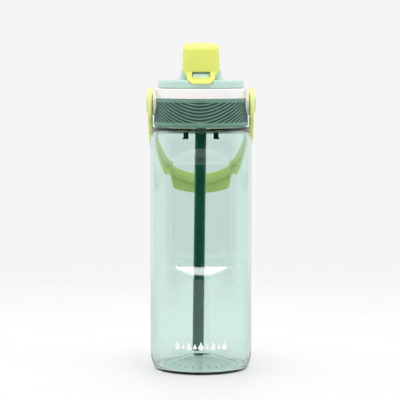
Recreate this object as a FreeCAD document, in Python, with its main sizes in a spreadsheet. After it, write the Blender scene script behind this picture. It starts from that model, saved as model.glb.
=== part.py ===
import FreeCAD, Part
import math
import os
import re
import Sketcher

# Kids water bottle: a clear screw-neck bottle, a screw lid with a grip sleeve, a flip cap over
# a straw mouthpiece, and a carry handle that swings on two pivot pins.
# Millimetres. +Z is up, the front (thumb lip of the cap) faces -Y, and the origin is the centre
# of the bottle's foot, on the surface that it stands on.

SHEET_NAME = "Sizes"

# Driving dimensions. Heights are measured from the foot, radii from the bottle's own axis.
DIMENSIONS = {
    # bottle
    "body_radius": 36.5,
    "body_wall": 2.0,
    "foot_radius": 33.75,
    "foot_round": 1.4,

    "heel_height": 9.0,
    "heel_round": 16.0,
    "punt_radius": 27.5,
    "punt_top_radius": 6.5,
    "punt_height": 9.3,
    "shoulder_low": 166.5,
    "shoulder_high": 175.2,
    "shoulder_radius": 34.6,
    "shoulder_round": 14.0,
    "neck_radius": 28.6,
    "neck_bore": 26.2,
    "neck_top": 196.0,
    "gasket_inset": 0.2,
    "gasket_play": 0.2,
    "inner_foot_inset": 1.7,
    "inner_foot_lift": 0.4,
    "inner_heel_lift": 0.6,
    # finger flats pressed into the front and the back of the bottle
    "flat_depth": 28.5,
    "flat_low": 77.0,
    "flat_high": 151.0,
    "facet_low": 72.0,
    "facet_high": 160.0,
    # screw thread
    "thread_lead": 4.5,
    "thread_turns": 1.0,
    "thread_start": 181.0,
    "thread_depth": 1.1,
    "thread_root": 1.9,
    "thread_crest": 0.9,
    "thread_bury": 0.3,
    # lid shell
    "lid_bore": 30.1,
    "skirt_radius": 31.6,
    "skirt_low": 176.8,
    "rim_low": 195.7,
    "rim_radius": 32.6,
    "rim_top": 203.0,
    "rim_round": 0.7,
    "deck_low": 198.4,
    "deck_top": 200.8,
    "recess_radius": 29.9,
    "core_bore": 14.2,
    "boss_radius": 8.0,
    "boss_face": 34.7,
    "boss_root": 1.1,
    "socket_wall": 0.6,
    # grip sleeve
    "sleeve_low": 176.6,
    "sleeve_high": 195.5,
    "sleeve_low_radius": 34.0,
    "sleeve_high_radius": 33.0,
    "sleeve_gap": 0.1,
    "sleeve_window": 8.3,
    "sleeve_step": 33.3,
    "sleeve_step_low": 175.6,
    # lid cover
    "cover_low": 203.3,
    "cover_radius": 30.8,
    "cover_top": 209.2,
    "cover_round": 1.5,
    "spigot_radius": 29.6,
    "spigot_low": 201.8,
    "spigot_bore": 27.8,
    "cover_cavity": 24.0,
    "cavity_top": 206.2,
    "collar_radius": 14.5,
    "collar_foot": 15.2,
    "collar_top": 216.0,
    "collar_bore": 12.6,
    "collar_floor": 211.0,
    "flare_round": 4.0,
    "mouth_bore": 9.2,
    "spigot_step": 2.6,
    "channel_play": 0.6,
    "notch_back": 29.8,
    # flip cap
    "cap_width": 27.0,
    "cap_front": 17.5,
    "cap_back": 15.5,
    "cap_corner": 5.5,
    "cap_skirt": 212.0,
    "cap_rim": 216.3,
    "jaw_low": 213.4,
    "jaw_high": 217.0,
    "jaw_across": 14.4,
    "jaw_bow": 9.0,
    "cap_crown": 239.0,
    "cap_draft": 0.07,
    "cap_wall": 2.0,
    "cap_ceiling": 229.6,
    "cap_brow": 230.8,
    "cap_ridge": 235.8,
    "brow_drop": 1.1,
    "brow_end": 4.2,
    "brow_ease": 0.35,
    "ridge_start": 4.0,
    "ridge_bow": 24.0,
    "back_drop": 2.1,
    "back_bow": 40.0,
    "crown_span": 16.0,
    "crown_edge": 0.8,
    "crown_radius": 36.0,
    # thumb lip of the cap
    "lip_root": 214.6,
    "lip_tip": 207.3,
    "lip_reach": 31.5,
    "lip_half_width": 10.4,
    "lip_taper": 0.8,
    "lip_tip_half_width": 6.0,
    "lip_chamfer_back": 27.6,
    "lip_root_thickness": 2.6,
    "lip_tip_thickness": 1.1,
    "slot_half_width": 6.3,
    "slot_front": 24.6,
    "slot_back": 14.9,
    "slot_corner": 1.4,
    "catch_half_width": 5.7,
    "catch_front": 23.9,
    "catch_back": 19.3,
    "catch_play": 0.35,
    "catch_root": 1.6,
    # cap hinge
    "hinge_back": 18.0,
    "hinge_height": 213.0,
    "knuckle_radius": 3.2,
    "knuckle_half_width": 7.4,
    "lug_inner": 7.8,
    "lug_outer": 11.6,
    "hinge_pin_radius": 1.0,
    "hinge_play": 0.06,
    # liner and plug inside the cap
    "liner_socket": 8.2,
    "liner_skirt": 9.4,
    "liner_radius": 10.6,
    "liner_floor": 1.6,
    "plug_radius": 8.0,
    "plug_face": 7.2,
    # mouthpiece and its retaining ring
    "spout_top": 226.0,

    "spout_bore": 2.8,
    "spout_lip": 6.8,
    "spout_waist": 6.2,
    "spout_foot": 7.8,
    "flange_radius": 12.2,
    "flange_low": 211.2,
    "flange_high": 213.0,
    "stem_radius": 8.9,
    "stem_low": 203.6,
    # straw carrier
    "carrier_radius": 13.9,
    "carrier_flange": 17.0,
    "carrier_low": 197.8,
    "carrier_top": 202.6,
    "carrier_spigot": 5.0,
    "carrier_spigot_top": 209.4,
    "carrier_nozzle": 4.0,
    "carrier_nozzle_low": 184.0,
    "carrier_passage": 2.8,
    "seal_groove": 12.7,
    "seal_groove_low": 198.7,
    "seal_groove_high": 200.1,
    "seal_wire": 0.58,
    "clip_inner": 9.0,
    "clip_outer": 12.6,
    "clip_barb": 13.4,
    "clip_low": 167.0,
    "clip_half_width": 3.2,
    "valve_back": 9.4,
    "valve_hole": 1.5,
    "valve_neck": 1.4,
    "valve_barb": 2.1,
    "valve_tip": 1.2,
    "valve_drop": 2.2,
    "valve_head": 3.0,
    # straw
    "straw_radius": 4.1,
    "straw_bore": 3.2,
    "straw_top": 183.8,
    "straw_low": 12.8,
    "straw_lean": 2.15,
    "connector_wall": 1.15,
    "connector_play": 0.15,
    "connector_below": 5.5,
    "connector_above": 7.0,
    # carry handle
    "pivot_height": 191.5,
    "handle_tilt": 37.5,
    "handle_inner": 35.0,
    "handle_outer": 38.2,
    "handle_eye": 11.4,
    "handle_arm_half_width": 5.5,
    "handle_grip_half_width": 6.5,
    "handle_reach": 80.3,
    "bail_outer_start": 22.0,
    "bail_outer_elbow": 64.2,
    "bail_outer_elbow_across": 27.6,
    "bail_corner": 75.6,
    "bail_corner_across": 20.4,
    "bail_outer_bow": 87.0,
    "bail_outer_grip_bow": 46.0,
    "bail_inner_start": 24.0,
    "bail_inner_elbow": 61.2,
    "bail_inner_elbow_across": 22.9,
    "bail_inner_bow": 61.0,
    "bail_inner_grip_bow": 31.5,
    "arm_root": 4.6,
    "arm_root_half_width": 10.4,
    "arm_neck": 19.0,
    "arm_blend": 15.0,
    "arm_end": 36.0,
    "grip_start": 58.0,
    "pivot_radius": 3.6,
    "pivot_play": 0.08,
    "socket_play": 0.02,
    "button_radius": 5.6,
    "button_face": 39.3,
}

doc = FreeCAD.newDocument("KidsWaterBottle")
sheet = doc.addObject("Spreadsheet::Sheet", SHEET_NAME)
for row, (alias, size) in enumerate(DIMENSIONS.items(), start=1):
    sheet.set(f"A{row}", alias)
    sheet.set(f"B{row}", str(size))
    sheet.setAlias(f"B{row}", alias)
doc.recompute()

# node name -> the document object that is that sub-part
NODES = {}

# where the thumb lip and its channel begin, just behind the inner face of the cap's front wall
LIP_START = "cap_front - cap_wall - 0.45"


def bound(text):
    """Turn an expression in sheet words, such as "body_radius - 2", into a document expression."""
    return re.sub(
        r"[a-z_]\w*",
        lambda word: f"{SHEET_NAME}.{word.group()}" if word.group() in DIMENSIONS else word.group(),
        str(text),
    )


def number(text):
    """The present value of an expression in sheet words."""
    return float(sheet.evalExpression(bound(text)))


def is_plain(text):
    """True for an expression that names no cell."""
    return bound(text) == str(text)


def keep(node, item):
    """Register item as the sub-part called node."""
    item.Label = node
    NODES[node] = item
    return item


# ---------------------------------------------------------------- sketches and features


def new_body(label):
    """An empty PartDesign body."""
    body = doc.addObject("PartDesign::Body", label.replace(" ", "_"))
    body.Label = label
    return body


def origin_plane(body, role):
    """One of the body's own origin planes: XY_Plane, XZ_Plane or YZ_Plane."""
    return next(plane for plane in body.Origin.OriginFeatures if plane.Role == role)


def constrain(sketch, kind, *where, value):
    """Add a dimension to a sketch and bind it to the sheet."""
    index = sketch.addConstraint(Sketcher.Constraint(kind, *where, number(value)))
    if not is_plain(value):
        sketch.setExpression(f"Constraints[{index}]", bound(value))


def place_point(sketch, segment, end, x, y):
    """Fix one end of a segment at the sketch point (x, y)."""
    for kind, axis, value in (("DistanceX", -2, x), ("DistanceY", -1, y)):
        if number(value) == 0:
            sketch.addConstraint(Sketcher.Constraint("PointOnObject", segment, end, axis))
        else:
            constrain(sketch, kind, -1, 1, segment, end, value=value)


def arc_between(start, finish, radius, turn):
    """The shorter arc from start to finish; turn is +1 anticlockwise and -1 clockwise."""
    chord = finish - start
    height = math.sqrt(radius ** 2 - (chord.Length / 2) ** 2)
    side = FreeCAD.Vector(-chord.y, chord.x, 0).normalize()
    centre = (start + finish) / 2 + side * height * turn
    first, last = (start, finish) if turn > 0 else (finish, start)
    angles = [math.atan2(point.y - centre.y, point.x - centre.x) for point in (first, last)]
    circle = Part.Circle(centre, FreeCAD.Vector(0, 0, 1), radius)
    return Part.ArcOfCircle(circle, angles[0], angles[1])


def add_outline(sketch, corners):
    """Draw a closed outline.

    Each corner is (x, y), or (x, y, radius, turn) where an arc of that radius arrives at it.
    """
    points = [FreeCAD.Vector(number(corner[0]), number(corner[1]), 0) for corner in corners]
    ends = []
    for index, start in enumerate(points):
        goal = (index + 1) % len(points)
        if len(corners[goal]) == 2:
            segment = sketch.addGeometry(Part.LineSegment(start, points[goal]))
            ends.append((segment, 1, 2))
            continue
        radius, turn = corners[goal][2:]
        arc = arc_between(start, points[goal], number(radius), turn)
        segment = sketch.addGeometry(arc)
        ends.append((segment, 1, 2) if turn > 0 else (segment, 2, 1))
        constrain(sketch, "Radius", segment, value=radius)
    for index, (segment, head, tail) in enumerate(ends):
        after, after_head, _ = ends[(index + 1) % len(ends)]
        sketch.addConstraint(Sketcher.Constraint("Coincident", segment, tail, after, after_head))
        place_point(sketch, segment, head, corners[index][0], corners[index][1])


def add_circle(sketch, x, y, radius):
    """Draw a full circle."""
    centre = FreeCAD.Vector(number(x), number(y), 0)
    circle = sketch.addGeometry(Part.Circle(centre, FreeCAD.Vector(0, 0, 1), number(radius)))
    constrain(sketch, "Radius", circle, value=radius)
    place_point(sketch, circle, 3, x, y)


def new_sketch(body, name, plane, offset="0"):
    """A sketch on one of the body's origin planes, moved along the plane's normal by offset."""
    sketch = body.newObject("Sketcher::SketchObject", name)
    sketch.AttachmentSupport = (origin_plane(body, plane), [""])
    sketch.MapMode = "FlatFace"
    sketch.AttachmentOffset = FreeCAD.Placement(
        FreeCAD.Vector(0, 0, number(offset)), FreeCAD.Rotation()
    )
    if not is_plain(offset):
        sketch.setExpression("AttachmentOffset.Base.z", bound(offset))
    return sketch


def outline_sketch(body, name, plane, corners, offset="0"):
    """A sketch that holds one closed outline."""
    sketch = new_sketch(body, name, plane, offset)
    add_outline(sketch, corners)
    return sketch


def circle_sketch(body, name, plane, circles, offset="0"):
    """A sketch that holds full circles, each (x, y, radius)."""
    sketch = new_sketch(body, name, plane, offset)
    for x, y, radius in circles:
        add_circle(sketch, x, y, radius)
    return sketch


def revolve(body, name, corners, kind="PartDesign::Revolution"):
    """Turn an outline of (radius, height) corners once about the vertical axis."""
    sketch = outline_sketch(body, name + "_profile", "XZ_Plane", corners)
    feature = body.newObject(kind, name)
    feature.Profile = sketch
    feature.ReferenceAxis = (sketch, ["V_Axis"])
    feature.Angle = 360
    return feature


def pad(body, name, sketch, length, symmetric=False, reversed_way=False):
    """Extrude a sketch."""
    doc.recompute()
    before = body.Shape.Volume if body.Tip else 0
    feature = body.newObject("PartDesign::Pad", name)
    feature.Profile = sketch
    feature.Length = number(length)
    if not is_plain(length):
        feature.setExpression("Length", bound(length))
    feature.SideType = "Symmetric" if symmetric else "One side"
    feature.Reversed = reversed_way
    doc.recompute()
    assert body.Shape.Volume > before + 0.01, f"{name} adds nothing"
    return feature


def cut_through(body, name, sketch):
    """Cut a sketch's outline right through the body, both ways."""
    doc.recompute()
    before = body.Shape.Volume
    feature = body.newObject("PartDesign::Pocket", name)
    feature.Profile = sketch
    feature.SideType = "Symmetric"
    feature.Type = "ThroughAll"
    doc.recompute()
    assert body.Shape.Volume < before - 0.01, f"{name} cuts nothing"
    return feature


def cut_deep(body, name, sketch, depth, reversed_way=False):
    """Cut a sketch's outline to a depth, one way."""
    doc.recompute()
    before = body.Shape.Volume
    feature = body.newObject("PartDesign::Pocket", name)
    feature.Profile = sketch
    feature.Length = number(depth)
    if not is_plain(depth):
        feature.setExpression("Length", bound(depth))
    feature.SideType = "One side"
    feature.Reversed = reversed_way
    doc.recompute()
    assert body.Shape.Volume < before - 0.01, f"{name} cuts nothing"
    return feature


def cut_sector(body, name, corners, half_width):
    """Cut a YZ outline out of the body over a width that is centred on the axis."""
    sketch = outline_sketch(body, name + "_profile", "YZ_Plane", corners)
    doc.recompute()
    before = body.Shape.Volume
    feature = body.newObject("PartDesign::Pocket", name)
    feature.Profile = sketch
    feature.SideType = "Symmetric"
    feature.setExpression("Length", bound(f"2 * ({half_width})"))
    doc.recompute()
    assert body.Shape.Volume < before - 0.01, f"{name} cuts nothing"
    return feature


def loft(body, name, lower, upper, kind="PartDesign::AdditiveLoft"):
    """Loft between two sketches."""
    feature = body.newObject(kind, name)
    feature.Profile = lower
    feature.Sections = [upper]
    feature.Ruled = True
    return feature


def round_edges(body, name, radius, chosen):
    """Fillet the edges of the body's tip for which chosen(edge) is true."""
    doc.recompute()
    tip = body.Tip
    edges = [f"Edge{index}" for index, edge in enumerate(tip.Shape.Edges, 1) if chosen(edge)]
    assert edges, f"{name} finds no edge"
    feature = body.newObject("PartDesign::Fillet", name)
    feature.Base = (tip, edges)
    feature.Radius = number(radius)
    if not is_plain(radius):
        feature.setExpression("Radius", bound(radius))
    doc.recompute()
    return feature


def ring_edge(radius, height):
    """A test for a level circular edge of this radius at this height."""

    def chosen(edge):
        curve = edge.Curve
        return (
            isinstance(curve, Part.Circle)
            and abs(curve.Radius - number(radius)) < 0.02
            and abs(curve.Center.z - number(height)) < 0.02
        )

    return chosen


def combine(kind, name, base, tool):
    """A Part boolean of two objects: Part::Cut, Part::Fuse or Part::Common."""
    item = doc.addObject(kind, name)
    item.Base = base
    item.Tool = tool
    return item


def round_section(body, name, height, front, back, half_width, corner):
    """A rounded rectangle on a level plane: front is towards -Y, back towards +Y."""
    side, straight = f"({half_width})", f"({half_width} - ({corner}))"
    ahead, behind = f"({front})", f"({back})"
    ahead_turn, behind_turn = f"({front} - ({corner}))", f"({back} - ({corner}))"
    return outline_sketch(
        body,
        name,
        "XY_Plane",
        [
            (straight, f"-{ahead}"),
            (side, f"-{ahead_turn}", corner, 1),
            (side, behind_turn),
            (straight, behind, corner, 1),
            (f"-{straight}", behind),
            (f"-{side}", behind_turn, corner, 1),
            (f"-{side}", f"-{ahead_turn}"),
            (f"-{straight}", f"-{ahead}", corner, 1),
        ],
        height,
    )


def screw_ridge(body, name, wall, start, inward):
    """One screw ridge: a trapezium that climbs about the vertical axis from the wall radius."""
    way = "-" if inward else "+"
    back = "+" if inward else "-"
    sketch = outline_sketch(
        body,
        name + "_section",
        "XZ_Plane",
        [
            (f"{wall} {back} thread_bury", f"{start} - thread_root / 2"),
            (wall, f"{start} - thread_root / 2"),
            (f"{wall} {way} thread_depth", f"{start} - thread_crest / 2"),
            (f"{wall} {way} thread_depth", f"{start} + thread_crest / 2"),
            (wall, f"{start} + thread_root / 2"),
            (f"{wall} {back} thread_bury", f"{start} + thread_root / 2"),
        ],
    )
    ridge = body.newObject("PartDesign::AdditiveHelix", name)
    ridge.Profile = sketch
    ridge.ReferenceAxis = (sketch, ["V_Axis"])
    ridge.Mode = "pitch-turns-angle"
    ridge.setExpression("Pitch", bound("thread_lead"))
    ridge.setExpression("Turns", bound("thread_turns"))
    return ridge


# ---------------------------------------------------------------- bottle


def bottle_solid(label, shrink, with_neck_thread):
    """The bottle's outside (shrink 0), or the space that fills it (shrink = wall)."""
    body = new_body(label)
    if with_neck_thread:
        corners = [
            ("punt_top_radius", "punt_height"),
            ("punt_radius", "0"),
            ("foot_radius", "0"),
            ("body_radius", "heel_height"),
            ("body_radius", "shoulder_low"),
            ("shoulder_radius", "shoulder_high"),
            ("neck_radius", "shoulder_high"),
            ("neck_radius", "neck_top"),
            ("0", "neck_top"),
            ("0", "punt_height"),
        ]
    else:
        corners = [
            ("punt_top_radius", f"punt_height + {shrink}"),
            ("punt_radius", f"{shrink} + inner_foot_lift"),
            ("foot_radius - inner_foot_inset", f"{shrink} + inner_foot_lift"),
            (f"body_radius - {shrink}", "heel_height + inner_heel_lift"),
            (f"body_radius - {shrink}", "shoulder_low"),
            (f"shoulder_radius - {shrink}", f"shoulder_high - {shrink} - inner_foot_lift"),
            ("neck_bore", f"shoulder_high - {shrink}"),
            ("neck_bore", f"neck_top + {shrink}"),
            ("0", f"neck_top + {shrink}"),
            ("0", f"punt_height + {shrink}"),
        ]
    revolve(body, label + "_turned", corners)
    if with_neck_thread:
        round_edges(body, label + "_heel", "heel_round", ring_edge("body_radius", "heel_height"))
        round_edges(body, label + "_foot", "foot_round", ring_edge("foot_radius", "0"))
        round_edges(
            body, label + "_shoulder", "shoulder_round", ring_edge("body_radius", "shoulder_low")
        )
        screw_ridge(body, label + "_thread", "neck_radius", "thread_start", inward=False)
    for side, sign in (("front", "-"), ("back", "")):
        far = "body_radius + 8"
        slope_low = "(flat_low - facet_low) / (body_radius - flat_depth)"
        slope_high = "(facet_high - flat_high) / (body_radius - flat_depth)"
        depth = f"flat_depth - {shrink}"
        flat = outline_sketch(
            body,
            f"{label}_{side}_flat_profile",
            "YZ_Plane",
            [
                (f"{sign}({depth})", "flat_low"),
                (f"{sign}({depth})", "flat_high"),
                (f"{sign}({far})", f"flat_high + ({far} - {depth}) * {slope_high}"),
                (f"{sign}({far})", f"flat_low - ({far} - {depth}) * {slope_low}"),
            ],
        )
        cut_through(body, f"{label}_{side}_flat", flat)
    return body


def build_bottle():
    """Bottle body: one blow-moulded clear shell with a domed foot and a threaded neck."""
    outside = bottle_solid("bottle_outside", "0", True)
    inside = bottle_solid("bottle_inside", "body_wall", False)
    keep("bottle_body", combine("Part::Cut", "BottleBody", outside, inside))


def build_neck_gasket():
    """Flat silicone gasket between the top of the neck and the underside of the lid's deck."""
    body = new_body("neck_gasket")
    revolve(
        body,
        "gasket_ring",
        [
            ("neck_bore + gasket_inset", "neck_top + gasket_play"),
            ("neck_radius - gasket_inset", "neck_top + gasket_play"),
            ("neck_radius - gasket_inset", "deck_low - gasket_play"),
            ("neck_bore + gasket_inset", "deck_low - gasket_play"),
        ],
    )
    keep("neck_gasket", body)


# ---------------------------------------------------------------- lid


def build_lid_shell():
    """White screw lid: threaded skirt, bright rim band, deck and the two handle bosses."""
    body = new_body("lid_shell")
    revolve(
        body,
        "shell_turned",
        [
            ("lid_bore", "skirt_low"),
            ("skirt_radius", "skirt_low"),
            ("skirt_radius", "rim_low"),
            ("rim_radius", "rim_low"),
            ("rim_radius", "rim_top"),
            ("recess_radius", "rim_top"),
            ("recess_radius", "deck_top"),
            ("core_bore", "deck_top"),
            ("core_bore", "deck_low"),
            ("lid_bore", "deck_low"),
        ],
    )
    round_edges(body, "rim_rounding", "rim_round", ring_edge("rim_radius", "rim_top"))
    screw_ridge(
        body, "shell_thread", "lid_bore", "thread_start - thread_lead / 2", inward=True
    )
    for side, sign in (("left", "-"), ("right", "")):
        boss = circle_sketch(
            body,
            f"{side}_boss_circle",
            "YZ_Plane",
            [("0", "pivot_height", "boss_radius")],
            f"{sign}(skirt_radius - boss_root)",
        )
        pad(
            body,
            f"{side}_boss",
            boss,
            "boss_face - skirt_radius + boss_root",
            reversed_way=(sign == "-"),
        )
        hole = circle_sketch(
            body,
            f"{side}_socket_circle",
            "YZ_Plane",
            [("0", "pivot_height", "pivot_radius + socket_play")],
            f"{sign}boss_face",
        )
        cut_deep(
            body,
            f"{side}_socket",
            hole,
            "boss_face - skirt_radius + socket_wall",
            reversed_way=(sign == "-"),
        )
    keep("lid_shell", body)


def build_grip_sleeve():
    """Soft sleeve over the skirt, open where the handle bosses come through."""
    body = new_body("grip_sleeve")
    revolve(
        body,
        "sleeve_turned",
        [
            ("skirt_radius + sleeve_gap", "sleeve_step_low"),
            ("sleeve_step", "sleeve_step_low"),
            ("sleeve_step", "sleeve_low"),
            ("sleeve_low_radius", "sleeve_low"),
            ("sleeve_high_radius", "sleeve_high"),
            ("skirt_radius + sleeve_gap", "sleeve_high"),
        ],
    )
    window = circle_sketch(
        body, "sleeve_window_circle", "YZ_Plane", [("0", "pivot_height", "sleeve_window")]
    )
    cut_through(body, "sleeve_windows", window)
    keep("grip_sleeve", body)


def lip_height(reach, below):
    """Height of the thumb lip's outer face at a distance in front of the axis, less below."""
    slope = "(lip_root - lip_tip) / (lip_reach - cap_front)"
    return f"lip_root - ({reach} - cap_front) * {slope} - ({below})"


def hinge_circle(body, name, radius, offset="0"):
    """A circle about the cap's hinge axis, on a plane across that axis."""
    return circle_sketch(
        body, name, "YZ_Plane", [("hinge_back", "hinge_height", radius)], offset
    )


def lip_outline(body, name, margin, end, height="0"):
    """The thumb lip seen from above, from the cap's wall to a distance in front of the axis."""
    wide, narrow = f"lip_half_width + {margin}", f"lip_tip_half_width + {margin}"
    return outline_sketch(
        body,
        name,
        "XY_Plane",
        [
            (f"-({wide})", f"-({LIP_START})"),
            (f"-({wide} - lip_taper)", "-lip_chamfer_back"),
            (f"-({narrow})", "-lip_reach"),
            (f"-({narrow})", f"-({end})"),
            (narrow, f"-({end})"),
            (narrow, "-lip_reach"),
            (f"{wide} - lip_taper", "-lip_chamfer_back"),
            (wide, f"-({LIP_START})"),
        ],
        height,
    )


def lip_channel():
    """The space in the cover for the thumb lip, with a notch below its tip for a fingertip."""
    far = "cover_radius + 3"
    plan = new_body("channel_plan")
    outline = lip_outline(plan, "channel_outline", "channel_play", far, "cover_low - 1")
    pad(plan, "channel_block", outline, "cap_ridge - cover_low")
    profile = new_body("channel_profile")
    side = outline_sketch(
        profile,
        "channel_side",
        "YZ_Plane",
        [
            (f"-({LIP_START})", "cap_ridge"),
            (f"-({LIP_START})", lip_height(LIP_START, "lip_root_thickness + channel_play")),
            ("-notch_back", lip_height("notch_back", "lip_tip_thickness + channel_play")),
            ("-notch_back", "cover_low - 1"),
            (f"-({far})", "cover_low - 1"),
            (f"-({far})", "cap_ridge"),
        ],
    )
    pad(profile, "channel_slab", side, "4 * lip_half_width", symmetric=True)
    return combine("Part::Common", "LipChannel", plan, profile)


def build_lid_cover():
    """Tinted cover: a shallow disc with the collar, the cap's catch and the hinge lugs."""
    body = new_body("lid_cover")
    revolve(
        body,
        "cover_turned",
        [
            ("spigot_bore", "spigot_low"),
            ("spigot_radius", "spigot_low"),
            ("spigot_radius", "cover_low"),
            ("cover_radius", "cover_low"),
            ("cover_radius", "cover_top - cover_round"),
            ("cover_radius - cover_round", "cover_top", "cover_round", 1),
            ("collar_foot + flare_round", "cover_top"),
            ("collar_foot", "cover_top + flare_round", "flare_round", -1),
            ("collar_radius", "collar_top"),
            ("collar_bore", "collar_top"),
            ("collar_bore", "collar_floor"),
            ("mouth_bore", "collar_floor"),
            ("mouth_bore", "cavity_top"),
            ("cover_cavity", "cavity_top"),
            ("cover_cavity + 1", "spigot_low + spigot_step"),
            ("spigot_bore", "spigot_low + spigot_step"),
        ],
    )
    lugs = outline_sketch(
        body,
        "lugs_profile",
        "YZ_Plane",
        [
            ("hinge_back - knuckle_radius", "cover_top - 0.6"),
            ("hinge_back + knuckle_radius", "cover_top - 0.6"),
            ("hinge_back + knuckle_radius", "hinge_height"),
            ("hinge_back", "hinge_height + knuckle_radius", "knuckle_radius", 1),
            ("hinge_back - knuckle_radius", "hinge_height", "knuckle_radius", 1),
        ],
    )
    add_circle(lugs, "hinge_back", "hinge_height", "hinge_pin_radius")
    pad(body, "lugs", lugs, "2 * lug_outer", symmetric=True)
    cut_sector(
        body,
        "knuckle_pocket",
        [
            ("collar_bore + 0.4", "cover_top + 0.35"),
            ("hinge_back + knuckle_radius + 1.4", "cover_top + 0.35"),
            ("hinge_back + knuckle_radius + 1.4", "cap_ridge"),
            ("collar_bore + 0.4", "cap_ridge"),
        ],
        "lug_inner",
    )
    opened = combine("Part::Cut", "OpenedCover", body, lip_channel())
    catch = new_body("catch")
    block = outline_sketch(
        catch,
        "catch_profile",
        "YZ_Plane",
        [
            ("-catch_back", lip_height("catch_back", "catch_play")),
            ("-catch_back", lip_height("catch_back", "lip_root_thickness + catch_root")),
            ("-catch_front", lip_height("catch_front", "lip_root_thickness + catch_root")),
            ("-catch_front", lip_height("catch_front", "catch_play")),
        ],
    )
    pad(catch, "catch_block", block, "2 * catch_half_width", symmetric=True)
    keep("lid_cover", combine("Part::Fuse", "LidCover", opened, catch))


def build_cover_seal():
    """Thin dark ring that seals the cover into the recess of the lid shell."""
    body = new_body("cover_seal")
    revolve(
        body,
        "seal_turned",
        [
            ("spigot_bore", "deck_top + 0.05"),
            ("spigot_radius", "deck_top + 0.05"),
            ("spigot_radius", "spigot_low - 0.05"),
            ("spigot_bore", "spigot_low - 0.05"),
        ],
    )
    keep("cover_seal", body)


# ---------------------------------------------------------------- flip cap


def cap_section(body, name, height, inset):
    """The cap's rounded-square section at a height; its walls lean in as they rise."""
    draft = f"(({height} - cap_skirt) * cap_draft + {inset})"
    return round_section(
        body,
        name,
        height,
        f"cap_front - {draft}",
        f"cap_back - {draft}",
        f"cap_width / 2 + 0.3 - {draft}",
        f"cap_corner - {inset}",
    )


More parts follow.
